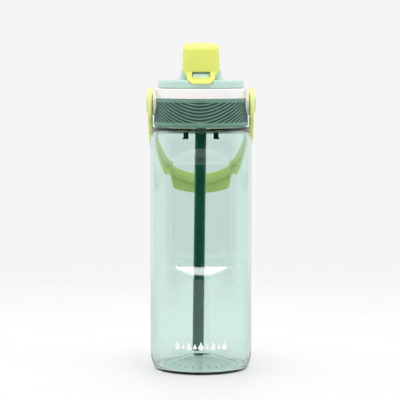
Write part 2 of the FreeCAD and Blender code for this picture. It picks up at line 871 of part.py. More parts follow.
def build_flip_cap():
    """Flip cap: a tapered hood with a crowned top, a thumb lip with a slot, and a knuckle."""
    body = new_body("flip_cap")
    loft(
        body,
        "hood",
        cap_section(body, "hood_low", "cap_skirt", "0"),
        cap_section(body, "hood_high", "cap_crown", "0"),
    )
    cut_through(
        body,
        "brow_cut",
        outline_sketch(
            body,
            "brow_profile",
            "YZ_Plane",
            [
                ("-(cap_front + 3)", "cap_brow - brow_drop"),
                ("-brow_end", "cap_ridge - brow_ease"),
                ("ridge_start", "cap_ridge", "ridge_bow", -1),
                ("cap_back + 3", "cap_ridge - back_drop", "back_bow", -1),
                ("cap_back + 3", "cap_crown + 3"),
                ("-(cap_front + 3)", "cap_crown + 3"),
            ],
        ),
    )
    sag = "crown_span * crown_span / (2 * crown_radius)"
    cut_through(
        body,
        "crown_cut",
        outline_sketch(
            body,
            "crown_profile",
            "XZ_Plane",
            [
                ("-crown_span", f"cap_ridge - {sag}"),
                ("crown_span", f"cap_ridge - {sag}", "crown_radius", -1),
                ("crown_span", "cap_crown + 3"),
                ("-crown_span", "cap_crown + 3"),
            ],
        ),
    )
    round_edges(
        body,
        "crown_rounding",
        "crown_edge",
        lambda edge: edge.BoundBox.ZMin > number("cap_ceiling - 1.6"),
    )
    loft(
        body,
        "hollow",
        cap_section(body, "hollow_low", "cap_skirt - 1", "cap_wall"),
        cap_section(body, "hollow_high", "cap_ceiling", "cap_wall"),
        "PartDesign::SubtractiveLoft",
    )
    cut_through(
        body,
        "rim_cut",
        outline_sketch(
            body,
            "rim_profile",
            "YZ_Plane",
            [
                ("-(cap_front - cap_wall - 0.1)", "cap_skirt - 3"),
                ("cap_back + 3", "cap_skirt - 3"),
                ("cap_back + 3", "cap_rim"),
                ("-(cap_front - cap_wall - 0.1)", "cap_rim"),
            ],
        ),
    )
    for side, sign, turn in (("left", "-", 1), ("right", "", -1)):
        cut_through(
            body,
            f"{side}_jaw_cut",
            outline_sketch(
                body,
                f"{side}_jaw_profile",
                "XZ_Plane",
                [
                    (f"{sign}lip_half_width", "cap_skirt - 3"),
                    (f"{sign}lip_half_width", "jaw_low"),
                    (f"{sign}jaw_across", "jaw_high", "jaw_bow", turn),
                    (f"{sign}(cap_width / 2 + 3)", "jaw_high"),
                    (f"{sign}(cap_width / 2 + 3)", "cap_skirt - 3"),
                ],
            ),
        )
    lip = outline_sketch(
        body,
        "lip_profile",
        "YZ_Plane",
        [
            ("-(cap_front - cap_wall)", "lip_root + 0.6"),
            ("-(cap_front - cap_wall)", lip_height("cap_front - cap_wall", "lip_root_thickness")),
            ("-lip_reach", "lip_tip - lip_tip_thickness"),
            ("-lip_reach", "lip_tip"),
            ("-(cap_front - 0.1)", "lip_root"),
            ("-(cap_front - 0.3)", "lip_root + 0.6"),
        ],
    )
    pad(body, "lip", lip, "2 * lip_half_width", symmetric=True)
    for side, sign in (("left", "-"), ("right", "")):
        cut_through(
            body,
            f"{side}_lip_chamfer",
            outline_sketch(
                body,
                f"{side}_chamfer_profile",
                "XY_Plane",
                [
                    (f"{sign}lip_tip_half_width", "-(lip_reach + 1)"),
                    (f"{sign}lip_tip_half_width", "-lip_reach"),
                    (f"{sign}(lip_half_width - lip_taper)", "-lip_chamfer_back"),
                    (f"{sign}lip_half_width", "-(cap_front + 0.4)"),
                    (f"{sign}(lip_half_width + 6)", "-(cap_front + 0.4)"),
                    (f"{sign}(lip_half_width + 6)", "-(lip_reach + 1)"),
                ],
            ),
        )
    slot = outline_sketch(
        body,
        "slot_profile",
        "XY_Plane",
        [
            ("-slot_half_width", "-slot_back"),
            ("-slot_half_width", "-(slot_front - slot_corner)"),
            ("-(slot_half_width - slot_corner)", "-slot_front", "slot_corner", 1),
            ("slot_half_width - slot_corner", "-slot_front"),
            ("slot_half_width", "-(slot_front - slot_corner)", "slot_corner", 1),
            ("slot_half_width", "-slot_back"),
        ],
        "cap_skirt - 12",
    )
    cut_deep(body, "slot", slot, "lip_root - cap_skirt + 12.1", reversed_way=True)
    web = outline_sketch(
        body,
        "web_profile",
        "YZ_Plane",
        [
            ("cap_back - cap_wall + 0.3", "cap_rim + 4"),
            ("cap_back - cap_wall + 0.3", "cap_rim"),
            ("hinge_back - knuckle_radius + 0.3", "hinge_height + 1.4"),
            ("hinge_back", "hinge_height + 1.4"),
            ("hinge_back + knuckle_radius - 1.4", "hinge_height + 2.4"),
            ("cap_back - 0.3", "cap_rim + 4"),
        ],
    )
    pad(body, "web", web, "2 * knuckle_half_width", symmetric=True)
    knuckle = hinge_circle(body, "knuckle_circle", "knuckle_radius")
    pad(body, "knuckle", knuckle, "2 * knuckle_half_width", symmetric=True)
    hole = hinge_circle(body, "knuckle_hole_circle", "hinge_pin_radius + hinge_play")
    cut_through(body, "knuckle_hole", hole)
    keep("flip_cap", body)


def build_cap_hinge_pin():
    """Steel pin through the lugs of the cover and the knuckle of the cap."""
    body = new_body("cap_hinge_pin")
    circle = hinge_circle(body, "pin_circle", "hinge_pin_radius")
    pad(body, "pin", circle, "2 * lug_outer - 0.4", symmetric=True)
    keep("cap_hinge_pin", body)


def build_cap_liner():
    """Round liner under the cap's ceiling, with a skirt that centres the spout."""
    body = new_body("cap_liner")
    revolve(
        body,
        "liner_turned",
        [
            ("0", "cap_ceiling - liner_floor"),
            ("liner_socket", "cap_ceiling - liner_floor"),
            ("liner_socket", "spout_top - 1.5"),
            ("liner_skirt", "spout_top - 1.5"),
            ("liner_skirt", "cap_ceiling - liner_floor"),
            ("liner_radius", "cap_ceiling - liner_floor"),
            ("liner_radius", "cap_ceiling - 0.05"),
            ("0", "cap_ceiling - 0.05"),
        ],
    )
    keep("cap_liner", body)


def build_cap_plug():
    """Silicone plug in the liner that closes the spout when the cap is shut."""
    body = new_body("cap_plug")
    revolve(
        body,
        "plug_turned",
        [
            ("0", "spout_top + 0.25"),
            ("plug_face", "spout_top + 0.35"),
            ("plug_radius", "spout_top + 0.8"),
            ("plug_radius", "cap_ceiling - liner_floor - 0.05"),
            ("0", "cap_ceiling - liner_floor - 0.05"),
        ],
    )
    keep("cap_plug", body)


# ---------------------------------------------------------------- drinking parts


def build_mouthpiece():
    """Soft silicone spout with a clamped flange and a socket for the straw carrier."""
    body = new_body("mouthpiece")
    revolve(
        body,
        "spout_turned",
        [
            ("spout_bore", "spout_top"),
            ("spout_bore", "carrier_spigot_top + 0.3"),
            ("carrier_spigot + 0.1", "carrier_spigot_top + 0.3"),
            ("carrier_spigot + 0.1", "stem_low"),
            ("stem_radius", "stem_low"),
            ("stem_radius", "flange_low"),
            ("flange_radius", "flange_low"),
            ("flange_radius", "flange_high"),
            ("spout_foot", "flange_high"),
            ("spout_waist", "spout_top - 6"),
            ("spout_waist", "spout_top - 3"),
            ("spout_lip", "spout_top - 2"),
            ("spout_lip", "spout_top - 0.8"),
            ("spout_waist", "spout_top"),
        ],
    )
    keep("mouthpiece", body)


def build_mouthpiece_ring():
    """Snap ring that holds the spout's flange down in the collar."""
    body = new_body("mouthpiece_ring")
    revolve(
        body,
        "ring_turned",
        [
            ("spout_foot + 0.4", "flange_high + 0.1"),
            ("collar_bore - 0.1", "flange_high + 0.1"),
            ("collar_bore - 0.1", "collar_top - 0.5"),
            ("spout_foot + 1.2", "collar_top - 0.5"),
        ],
    )
    keep("mouthpiece_ring", body)


def build_straw_carrier():
    """Dark carrier plugged into the deck: spigot, straw nozzle and two pinch clips."""
    body = new_body("straw_carrier")
    revolve(
        body,
        "carrier_turned",
        [
            ("carrier_passage", "carrier_nozzle_low"),
            ("carrier_nozzle", "carrier_nozzle_low"),
            ("carrier_nozzle", "carrier_low"),
            ("carrier_radius", "carrier_low"),
            ("carrier_radius", "seal_groove_low"),
            ("seal_groove", "seal_groove_low"),
            ("seal_groove", "seal_groove_high"),
            ("carrier_radius", "seal_groove_high"),
            ("carrier_radius", "deck_top + 0.1"),
            ("carrier_flange", "deck_top + 0.1"),
            ("carrier_flange", "carrier_top"),
            ("carrier_spigot", "carrier_top"),
            ("carrier_spigot", "carrier_spigot_top"),
            ("carrier_passage", "carrier_spigot_top"),
        ],
    )
    for side, sign in (("left", "-"), ("right", "")):
        clip = outline_sketch(
            body,
            f"{side}_clip_profile",
            "XZ_Plane",
            [
                (f"{sign}clip_inner", "carrier_low + 0.3"),
                (f"{sign}clip_inner", "clip_low"),
                (f"{sign}clip_barb", "clip_low"),
                (f"{sign}clip_barb", "clip_low + 0.6"),
                (f"{sign}clip_outer", "clip_low + 1.9"),
                (f"{sign}clip_outer", "carrier_low + 0.3"),
            ],
        )
        pad(body, f"{side}_clip", clip, "2 * clip_half_width", symmetric=True)
    valve_hole = circle_sketch(body, "valve_hole_circle", "XY_Plane", [("0", "valve_back", "valve_hole")])
    cut_through(body, "valve_hole", valve_hole)
    keep("straw_carrier", body)


def build_carrier_seal():
    """O-ring in the carrier's groove."""
    ring = doc.addObject("Part::Torus", "CarrierSeal")
    ring.setExpression("Radius1", bound("(seal_groove + core_bore) / 2"))
    ring.setExpression("Radius2", bound("seal_wire"))
    ring.setExpression("Placement.Base.z", bound("(seal_groove_low + seal_groove_high) / 2"))
    keep("carrier_seal", ring)


def build_vent_valve():
    """Small silicone valve in the carrier that lets air in as water is drawn out."""
    body = new_body("vent_valve")
    revolve(
        body,
        "valve_turned",
        [
            ("0", "carrier_low - valve_drop"),
            ("valve_tip", "carrier_low - valve_drop"),
            ("valve_barb", "carrier_low - 0.1"),
            ("valve_neck", "carrier_low - 0.1"),
            ("valve_neck", "carrier_top + 0.1"),
            ("valve_head", "carrier_top + 0.1"),
            ("valve_head - 0.6", "carrier_top + 0.8"),
            ("0", "carrier_top + 0.9"),
        ],
    )
    body.setExpression("Placement.Base.y", bound("valve_back"))
    keep("vent_valve", body)


def build_straw_connector():
    """Short silicone sleeve that joins the straw to the carrier's nozzle."""
    body = new_body("straw_connector")
    inside = "straw_radius + connector_play"
    outside = f"{inside} + connector_wall"
    revolve(
        body,
        "connector_turned",
        [
            (inside, "carrier_nozzle_low - connector_below"),
            (outside, "carrier_nozzle_low - connector_below"),
            (outside, "carrier_nozzle_low + connector_above"),
            ("carrier_nozzle + 0.05", "carrier_nozzle_low + connector_above"),
            ("carrier_nozzle + 0.05", "carrier_nozzle_low - 0.1"),
            (inside, "carrier_nozzle_low - 0.1"),
        ],
    )
    keep("straw_connector", body)


def build_straw():
    """Dark straw, held at its top and leaning a little to the left at its foot."""
    body = new_body("straw")
    length = "(straw_top - straw_low)"
    revolve(
        body,
        "straw_turned",
        [
            ("straw_bore", f"-{length}"),
            ("straw_radius", f"-{length}"),
            ("straw_radius", "0"),
            ("straw_bore", "0"),
        ],
    )
    body.Placement = FreeCAD.Placement(
        FreeCAD.Vector(0, 0, 0), FreeCAD.Vector(0, 1, 0), 1.0
    )
    body.setExpression("Placement.Base.z", bound("straw_top"))
    body.setExpression("Placement.Rotation.Angle", bound(f"atan(straw_lean / {length})"))
    keep("straw", body)


# ---------------------------------------------------------------- carry handle


def handle_outline(body):
    """The bail seen square on: two arms that bow into an angular grip, pivots at height 0."""
    top = "handle_eye + 1"
    return outline_sketch(
        body,
        "bail_outline",
        "XZ_Plane",
        [
            ("-handle_outer", "-bail_outer_start"),
            ("-bail_outer_elbow_across", "-bail_outer_elbow", "bail_outer_bow", 1),
            ("-bail_corner_across", "-bail_corner"),
            ("bail_corner_across", "-bail_corner", "bail_outer_grip_bow", 1),
            ("bail_outer_elbow_across", "-bail_outer_elbow"),
            ("handle_outer", "-bail_outer_start", "bail_outer_bow", 1),
            ("handle_outer", top),
            ("handle_inner", top),
            ("handle_inner", "-bail_inner_start"),
            ("bail_inner_elbow_across", "-bail_inner_elbow", "bail_inner_bow", -1),
            ("-bail_inner_elbow_across", "-bail_inner_elbow", "bail_inner_grip_bow", -1),
            ("-handle_inner", "-bail_inner_start", "bail_inner_bow", -1),
            ("-handle_inner", top),
            ("-handle_outer", top),
        ],
    )


def build_carry_handle():
    """Carry handle: a bail whose arms end in round eyes on the pivot pins."""
    front = new_body("bail_front")
    pad(front, "bail", handle_outline(front), "2 * handle_eye + 4", symmetric=True)
    side = new_body("bail_side")
    eye = circle_sketch(side, "eye_circle", "YZ_Plane", [("0", "0", "handle_eye")])
    pad(side, "eyes", eye, "2 * handle_outer + 4", symmetric=True)
    blade = outline_sketch(
        side,
        "blade_profile",
        "YZ_Plane",
        [
            ("-arm_root_half_width", "-arm_root"),
            ("-handle_arm_half_width", "-arm_neck", "arm_blend", -1),
            ("-handle_arm_half_width", "-arm_end"),
            ("-handle_grip_half_width", "-grip_start"),
            ("-handle_grip_half_width", "-(handle_reach + 4)"),
            ("handle_grip_half_width", "-(handle_reach + 4)"),
            ("handle_grip_half_width", "-grip_start"),
            ("handle_arm_half_width", "-arm_end"),
            ("handle_arm_half_width", "-arm_neck"),
            ("arm_root_half_width", "-arm_root", "arm_blend", -1),
        ],
    )
    pad(side, "blades", blade, "2 * handle_outer + 4", symmetric=True)
    hole = circle_sketch(
        side, "pivot_hole_circle", "YZ_Plane", [("0", "0", "pivot_radius + pivot_play")]
    )
    cut_through(side, "pivot_holes", hole)
    handle = combine("Part::Common", "CarryHandle", front, side)
    handle.Placement = FreeCAD.Placement(
        FreeCAD.Vector(0, 0, 0), FreeCAD.Vector(1, 0, 0), 1.0
    )
    handle.setExpression("Placement.Base.z", bound("pivot_height"))
    handle.setExpression("Placement.Rotation.Angle", bound("handle_tilt"))
    keep("carry_handle", handle)


def build_pivot_pins():
    """The two pivot pins: a domed button outside the arm and a stem in the lid's boss."""
    for side, angle in (("left", -90), ("right", 90)):
        body = new_body(f"{side}_pivot_pin")
        revolve(
            body,
            f"{side}_pin_turned",
            [
                ("0", "skirt_radius - 0.4"),
                ("pivot_radius - 0.4", "skirt_radius - 0.4"),
                ("pivot_radius", "skirt_radius"),
                ("pivot_radius", "handle_outer + 0.1"),
                ("button_radius", "handle_outer + 0.1"),
                ("button_radius", "button_face - 0.5"),
                ("button_radius - 0.8", "button_face"),
                ("0", "button_face"),
            ],
        )
        body.Placement = FreeCAD.Placement(
            FreeCAD.Vector(0, 0, 0), FreeCAD.Vector(0, 1, 0), angle
        )
        body.setExpression("Placement.Base.z", bound("pivot_height"))
        keep(f"{side}_pivot_pin", body)


# ---------------------------------------------------------------- build, check and write


def faults():
    """Names of document objects that failed and of sub-parts whose shape is not sound."""
    failed = [
        item.Label for item in doc.Objects if "Invalid" in item.State or "Error" in item.State
    ]
    unsound = [
        node
        for node, item in NODES.items()
        if item.Shape.isNull() or not item.Shape.isValid() or len(item.Shape.Solids) != 1
    ]
    return failed + unsound


def main():
    """Build every sub-part, check it and write one STEP file for each."""
    for build in (
        build_bottle,
        build_neck_gasket,
        build_lid_shell,
        build_grip_sleeve,
        build_lid_cover,
        build_cover_seal,
        build_flip_cap,
        build_cap_hinge_pin,
        build_cap_liner,
        build_cap_plug,
        build_mouthpiece,
        build_mouthpiece_ring,
        build_straw_carrier,
        build_carrier_seal,
        build_vent_valve,
        build_straw_connector,
        build_straw,
        build_carry_handle,
        build_pivot_pins,
    ):
        build()
    doc.recompute()
    bad = faults()
    for node, item in NODES.items():
        box = item.Shape.optimalBoundingBox()
        print(f"{node:18s} {item.Shape.Volume:10.1f} mm3  z {box.ZMin:7.2f} .. {box.ZMax:7.2f}")
    if bad:
        raise RuntimeError("failed: " + ", ".join(bad))
    os.makedirs("parts", exist_ok=True)
    for node, item in NODES.items():
        item.Shape.exportStep(os.path.join("parts", node + ".step"))


main()
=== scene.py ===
"""Kids water bottle: the finished look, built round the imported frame.

Each sub-assembly is a class whose fields are its sizes in millimetres. Heights are measured from
the foot and radii from the bottle's own axis; the front, with the cap's thumb lip, faces -Y.
"""
import logging
import math
from collections.abc import Callable, Iterable, Sequence
from dataclasses import dataclass, field
from enum import Enum

import bmesh
import bpy
from mathutils import Matrix, Vector


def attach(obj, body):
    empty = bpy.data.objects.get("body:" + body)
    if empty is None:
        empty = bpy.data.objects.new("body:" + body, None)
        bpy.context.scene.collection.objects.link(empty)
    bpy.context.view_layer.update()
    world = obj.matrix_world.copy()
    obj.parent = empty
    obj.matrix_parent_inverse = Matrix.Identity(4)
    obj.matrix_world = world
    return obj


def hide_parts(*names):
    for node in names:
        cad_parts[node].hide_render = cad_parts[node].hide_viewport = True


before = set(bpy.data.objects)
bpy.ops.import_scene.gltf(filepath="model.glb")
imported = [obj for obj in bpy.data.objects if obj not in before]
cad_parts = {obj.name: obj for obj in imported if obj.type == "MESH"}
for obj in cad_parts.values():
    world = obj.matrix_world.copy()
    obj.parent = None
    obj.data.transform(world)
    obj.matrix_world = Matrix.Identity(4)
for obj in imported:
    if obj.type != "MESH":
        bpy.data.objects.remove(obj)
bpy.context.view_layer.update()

LOG = logging.getLogger("kids_water_bottle")
MM = 0.001
# The thread's ridge fades out over this share of a turn, and its crest is this wide either side.
RUN_OUT = 0.05
CREST_HALF_WIDTH = 0.4
# A radius this close to a threaded wall's own is on that wall.
ON_WALL = 0.01
# A height clear of everything on the bottle.
CLEAR_ABOVE = 240.0

Corner = tuple[float, ...]
Point = tuple[float, float]
Warp = Callable[[float, float, float], tuple[float, float, float]]


class Rider(Enum):
    """The moving bodies that pieces ride on."""

    BOTTLE = "bottle"
    GASKET = "gasket_ring"
    SEAL = "seal_ring"
    LID = "lid"
    CAP = "cap"
    HANDLE = "handle"


class Join(Enum):
    """How one solid is worked into another."""

    ADD = "UNION"
    CUT = "DIFFERENCE"
    SHARE = "INTERSECT"


# ---------------------------------------------------------------- nodes


def linear(colour: str) -> tuple[float, float, float, float]:
    """Turn an sRGB hex colour into linear light.

    Args:
        colour: Six hex digits, such as "#C8E0D8".

    Returns:
        Red, green, blue and an alpha of 1.
    """
    parts = [int(colour.lstrip("#")[start : start + 2], 16) / 255 for start in (0, 2, 4)]
    light = [part / 12.92 if part <= 0.04045 else ((part + 0.055) / 1.055) ** 2.4 for part in parts]
    return (light[0], light[1], light[2], 1.0)


def add_node(
    tree: bpy.types.NodeTree,
    kind: str,
    settings: dict[str, object] | None = None,
    inputs: dict[str | int, object] | None = None,
) -> bpy.types.Node:
    """Add one node with its settings, values and links.

    Args:
        tree: The material's or geometry's node tree.
        kind: The node's type name.
        settings: Properties of the node.
        inputs: A value, or another node's output socket, for each input by name or place.

    Returns:
        The new node.
    """
    node = tree.nodes.new(kind)
    for name, value in (settings or {}).items():
        setattr(node, name, value)
    for key, value in (inputs or {}).items():
        if isinstance(value, bpy.types.NodeSocket):
            tree.links.new(value, node.inputs[key])
        else:
            node.inputs[key].default_value = value
    return node


# ---------------------------------------------------------------- finishes


def new_material(name: str) -> tuple[bpy.types.Material, bpy.types.NodeTree]:
    """Start an empty node material.

    Args:
        name: The finish's name.

    Returns:
        The material and its node tree.
    """
    material = bpy.data.materials.new(name)
    material.use_nodes = True
    material.node_tree.nodes.clear()
    return material, material.node_tree


def noise(
    tree: bpy.types.NodeTree, size_mm: float, detail: float = 2.0, stretch: Sequence[float] = (1, 1, 1)
) -> bpy.types.NodeSocket:
    """Noise in the piece's own coordinates.

    Args:
        tree: The material's node tree.
        size_mm: The width of one speck, in millimetres.
        detail: Finer layers on top of the first.
        stretch: How many times finer the noise is along each axis.

    Returns:
        The noise value's socket.
    """
    place = add_node(tree, "ShaderNodeTexCoord")
    mapped = add_node(
        tree, "ShaderNodeMapping", inputs={"Vector": place.outputs["Object"], "Scale": stretch}
    )
    texture = add_node(
        tree,
        "ShaderNodeTexNoise",
        inputs={"Vector": mapped.outputs["Vector"], "Scale": 1 / (size_mm * MM), "Detail": detail},
    )
    return texture.outputs["Fac"]


def spread(
    tree: bpy.types.NodeTree, source: bpy.types.NodeSocket, low: float, high: float
) -> bpy.types.NodeSocket:
    """Map the middle of a noise onto a range.

    Args:
        tree: The material's node tree.
        source: The noise value.
        low: The result where the noise is low.
        high: The result where the noise is high.

    Returns:
        The mapped value's socket.
    """
    mapped = add_node(
        tree,
        "ShaderNodeMapRange",
        inputs={"Value": source, "From Min": 0.3, "From Max": 0.7, "To Min": low, "To Max": high},
    )
    return mapped.outputs["Result"]


def two_tone(
    tree: bpy.types.NodeTree, factor: bpy.types.NodeSocket, first: str, second: str
) -> bpy.types.NodeSocket:
    """Mix two colours.

    Args:
        tree: The material's node tree.
        factor: 0 for the first colour and 1 for the second.
        first: An sRGB hex colour.
        second: An sRGB hex colour.

    Returns:
        The mixed colour's socket.
    """
    mix = add_node(tree, "ShaderNodeMix", {"data_type": "RGBA"}, {0: factor})
    mix.inputs[6].default_value = linear(first)
    mix.inputs[7].default_value = linear(second)
    return mix.outputs[2]


def bump(
    tree: bpy.types.NodeTree,
    height: bpy.types.NodeSocket,
    depth_mm: float,
    under: bpy.types.NodeSocket | None = None,
) -> bpy.types.NodeSocket:
    """Raise a height pattern off the surface.

    Args:
        tree: The material's node tree.
        height: The pattern, from 0 to 1.
        depth_mm: How far it stands up, in millimetres.
        under: A coarser relief that this one lies on.

    Returns:
        The bent normal's socket.
    """
    inputs = {"Height": height, "Distance": depth_mm * MM, "Strength": 1.0}
    if under is not None:
        inputs["Normal"] = under
    return add_node(tree, "ShaderNodeBump", inputs=inputs).outputs["Normal"]


@dataclass(frozen=True)
class Moulded:
    """A moulded polymer: a slightly clouded colour, a sheen that varies and a fine mould grain."""

    name: str
    colour: str
    deeper: str
    roughness: float
    ior: float = 1.49
    grain_mm: float = 0.5
    grain_depth_mm: float = 0.008
    cloud_mm: float = 16.0
    scatter: float = 0.0
    scatter_mm: float = 1.5
    coat: float = 0.0
    sheen: float = 0.0

    def build(self) -> bpy.types.Material:
        """Make the material."""
        material, tree = new_material(self.name)
        cloud = noise(tree, self.cloud_mm, 3.0)
        scuff = noise(tree, self.cloud_mm / 5, 4.0)
        grain = noise(tree, self.grain_mm, 1.0)
        shader = add_node(
            tree,
            "ShaderNodeBsdfPrincipled",
            {"subsurface_method": "RANDOM_WALK"},
            {
                "Base Color": two_tone(tree, spread(tree, cloud, 0, 1), self.colour, self.deeper),
                "Roughness": spread(tree, scuff, self.roughness * 0.85, self.roughness * 1.15),
                "IOR": self.ior,
                "Subsurface Weight": self.scatter,
                "Subsurface Radius": (1.0, 0.8, 0.6),
                "Subsurface Scale": self.scatter_mm * MM,
                "Coat Weight": self.coat,
                "Coat Roughness": 0.12,
                "Sheen Weight": self.sheen,
                "Sheen Roughness": 0.4,
                "Normal": bump(tree, grain, self.grain_depth_mm),
            },
        )
        add_node(tree, "ShaderNodeOutputMaterial", inputs={"Surface": shader.outputs["BSDF"]})
        return material


@dataclass(frozen=True)
class BlownCopolyester:
    """Clear tinted copolyester, blow moulded: glass-smooth, with faint ripples in its wall.

    It looks deeper where the wall is seen on the slant, because light crosses more of it there.
    """

    name: str = "blown clear copolyester"
    tint: str = "#EAF8F4"
    edge_tint: str = "#C3DCD3"
    shadow_tint: str = "#F8FDFC"
    ior: float = 1.53
    ripple_mm: float = 26.0
    ripple_depth_mm: float = 0.03

    def build(self) -> bpy.types.Material:
        """Make the material. Rays from lamps pass straight through it, tinted."""
        material, tree = new_material(self.name)
        ripple = noise(tree, self.ripple_mm, 1.0, (1.0, 1.0, 0.35))
        scuff = noise(tree, 5.0, 5.0)
        facing = add_node(tree, "ShaderNodeLayerWeight", inputs={"Blend": 0.5}).outputs["Facing"]
        slant = add_node(tree, "ShaderNodeMath", {"operation": "POWER"}, {0: facing, 1: 3.0})
        clear = add_node(
            tree,
            "ShaderNodeBsdfPrincipled",
            inputs={
                "Base Color": two_tone(tree, slant.outputs["Value"], self.tint, self.edge_tint),
                "Roughness": spread(tree, scuff, 0.0, 0.035),
                "IOR": self.ior,
                "Transmission Weight": 1.0,
                "Normal": bump(tree, ripple, self.ripple_depth_mm),
            },
        )
        passing = add_node(
            tree, "ShaderNodeBsdfTransparent", inputs={"Color": linear(self.shadow_tint)}
        )
        path = add_node(tree, "ShaderNodeLightPath")
        mixed = add_node(
            tree,
            "ShaderNodeMixShader",
            inputs={
                0: path.outputs["Is Shadow Ray"],
                1: clear.outputs["BSDF"],
                2: passing.outputs["BSDF"],
            },
        )
        add_node(tree, "ShaderNodeOutputMaterial", inputs={"Surface": mixed.outputs["Shader"]})
        return material


@dataclass(frozen=True)
class RibbedElastomer:
    """Soft-touch elastomer: matt, with painted shade that darkens the grooves between the ribs, so the rib
    crests stand paler; the painted shade varies a little at random.
    """

    name: str = "soft-touch green elastomer"
    # The groove colour is painted shade for the grooves between the ribs; the crest colour is the
    # elastomer's own.
    groove: str = "#1C4135"
    crest: str = "#6A9584"
    roughness: float = 0.55
    grain_mm: float = 0.4
    grain_depth_mm: float = 0.02

    def build(self) -> bpy.types.Material:
        """Make the material. It reads the rib height that the sleeve's mesh carries and paints shade into
        the grooves from it.
        """
        material, tree = new_material(self.name)
        rib = add_node(tree, "ShaderNodeAttribute", {"attribute_name": Sleeve.RIB_ATTRIBUTE})
        # Painted shade mix: 0 on the groove floors, where the darker groove colour is painted, 1 on the
        # crests, varied a little at random.
        groove_shade_mix = add_node(
            tree,
            "ShaderNodeMath",
            {"operation": "MULTIPLY", "use_clamp": True},
            {0: rib.outputs["Fac"], 1: spread(tree, noise(tree, 6.0, 4.0), 0.75, 1.15)},
        )
        grain = noise(tree, self.grain_mm, 2.0)
        shader = add_node(
            tree,
            "ShaderNodeBsdfPrincipled",
            inputs={
                "Base Color": two_tone(tree, groove_shade_mix.outputs["Value"], self.groove, self.crest),
                "Roughness": spread(tree, grain, self.roughness - 0.08, self.roughness + 0.08),
                "IOR": 1.5,
                "Sheen Weight": 0.15,
                "Sheen Roughness": 0.5,
                "Normal": bump(tree, grain, self.grain_depth_mm),
            },
        )
        add_node(tree, "ShaderNodeOutputMaterial", inputs={"Surface": shader.outputs["BSDF"]})
        return material


@dataclass(frozen=True)
class DrawnSteel:
    """Drawn stainless wire: bright, with fine lines along its length."""

    name: str = "drawn stainless wire"
    colour: str = "#C9CACC"
    roughness: float = 0.28

    def build(self) -> bpy.types.Material:
        """Make the material. The lines run along X, the pin's length."""
        material, tree = new_material(self.name)
        lines = noise(tree, 0.25, 2.0, (0.03, 1.0, 1.0))
        shader = add_node(
            tree,
            "ShaderNodeBsdfPrincipled",
            inputs={
                "Base Color": linear(self.colour),
                "Metallic": 1.0,
                "Roughness": spread(tree, lines, self.roughness - 0.08, self.roughness + 0.1),
                "Normal": bump(tree, lines, 0.004),
            },
        )
        add_node(tree, "ShaderNodeOutputMaterial", inputs={"Surface": shader.outputs["BSDF"]})
        return material


@dataclass(frozen=True)
class PaleTable:
    """Matt pale laminate, lit a little from below, that melts into the room behind the bottle."""

    name: str = "matt white laminate"
    colour: str = "#CBCBCB"
    deeper: str = "#C8C8C8"
    lit_from_below: str = "#FFFFFF"
    roughness: float = 0.6
    glow: float = 0.29
    near: float = 0.15
    far: float = 0.75

    def build(self) -> bpy.types.Material:
        """Make the material. It stays whole in front of the bottle."""
        material, tree = new_material(self.name)
        cloud = noise(tree, 90.0, 3.0)
        shader = add_node(
            tree,
            "ShaderNodeBsdfPrincipled",
            inputs={
                "Base Color": two_tone(tree, spread(tree, cloud, 0, 1), self.colour, self.deeper),
                "Roughness": self.roughness,
                "Emission Color": linear(self.lit_from_below),
                "Emission Strength": self.glow,
                "Normal": bump(tree, noise(tree, 0.6, 1.0), 0.01),
            },
        )
        place = add_node(tree, "ShaderNodeTexCoord").outputs["Object"]
        behind = add_node(
            tree,
            "ShaderNodeVectorMath",
            {"operation": "MAXIMUM"},
            {0: place, 1: (-10.0, 0.0, 0.0)},
        ).outputs["Vector"]
        away = add_node(tree, "ShaderNodeVectorMath", {"operation": "LENGTH"}, {0: behind})
        fade = add_node(
            tree,
            "ShaderNodeMapRange",
            {"interpolation_type": "SMOOTHSTEP"},
            {"Value": away.outputs["Value"], "From Min": self.near, "From Max": self.far},
        )
        room = add_node(tree, "ShaderNodeBsdfTransparent")
        mixed = add_node(
            tree,
            "ShaderNodeMixShader",
            inputs={0: fade.outputs["Result"], 1: shader.outputs["BSDF"], 2: room.outputs["BSDF"]},
        )
        add_node(tree, "ShaderNodeOutputMaterial", inputs={"Surface": mixed.outputs["Shader"]})
        return material


# Copolyester tinted mint: it shows the room through two walls, with bright, sharp reflections.
CLEAR = BlownCopolyester()
# Thermoplastic elastomer moulded over the skirt: it drinks light and shows no sharp reflection.
ELASTOMER = RibbedElastomer()
# Polypropylene: a soft satin gloss, and light that sinks a little way in.
WHITE_PP = Moulded("white polypropylene", "#F8F6F3", "#F2F0ED", 0.34, scatter=0.15)
MINT_PP = Moulded("mint polypropylene", "#C3E2D7", "#BADACE", 0.3, scatter=0.2, coat=0.25)
LIME_CAP = Moulded("lime polypropylene, cap", "#E8EE79", "#E2E96F", 0.36, scatter=0.25, scatter_mm=3.0)
LIME_BAIL = Moulded(
    "lime polypropylene, handle", "#ECF795", "#E3F186", 0.33, scatter=0.25, scatter_mm=2.5
)
GREY_ACETAL = Moulded("grey acetal", "#DCDEDC", "#D2D5D3", 0.28, ior=1.48, cloud_mm=6.0)
# Silicone: soft, slightly hazy, with a dry sheen.
MILKY_SILICONE = Moulded(
    "milky silicone", "#E4EAE6", "#D9E2DD", 0.45, ior=1.41, scatter=0.6, scatter_mm=2.0, sheen=0.1
)
BLACK_SILICONE = Moulded("black silicone", "#1C2320", "#141A18", 0.5, ior=1.41, sheen=0.1)
LINER_PP = Moulded("liner polypropylene", "#ECEBE8", "#E2E1DD", 0.4, scatter=0.2)
CARRIER_PP = Moulded("dark green polypropylene", "#16302A", "#102620", 0.42)
# Extruded tube: glossier than a moulding, with a coarser grain.
STRAW_PP = Moulded("extruded green polypropylene", "#065A40", "#044B35", 0.2, grain_mm=1.5, coat=0.3)
INK = Moulded("white pad-printing ink", "#FFFFFF", "#F7F8F8", 0.5, grain_mm=0.15)
STEEL = DrawnSteel()


# ---------------------------------------------------------------- meshes


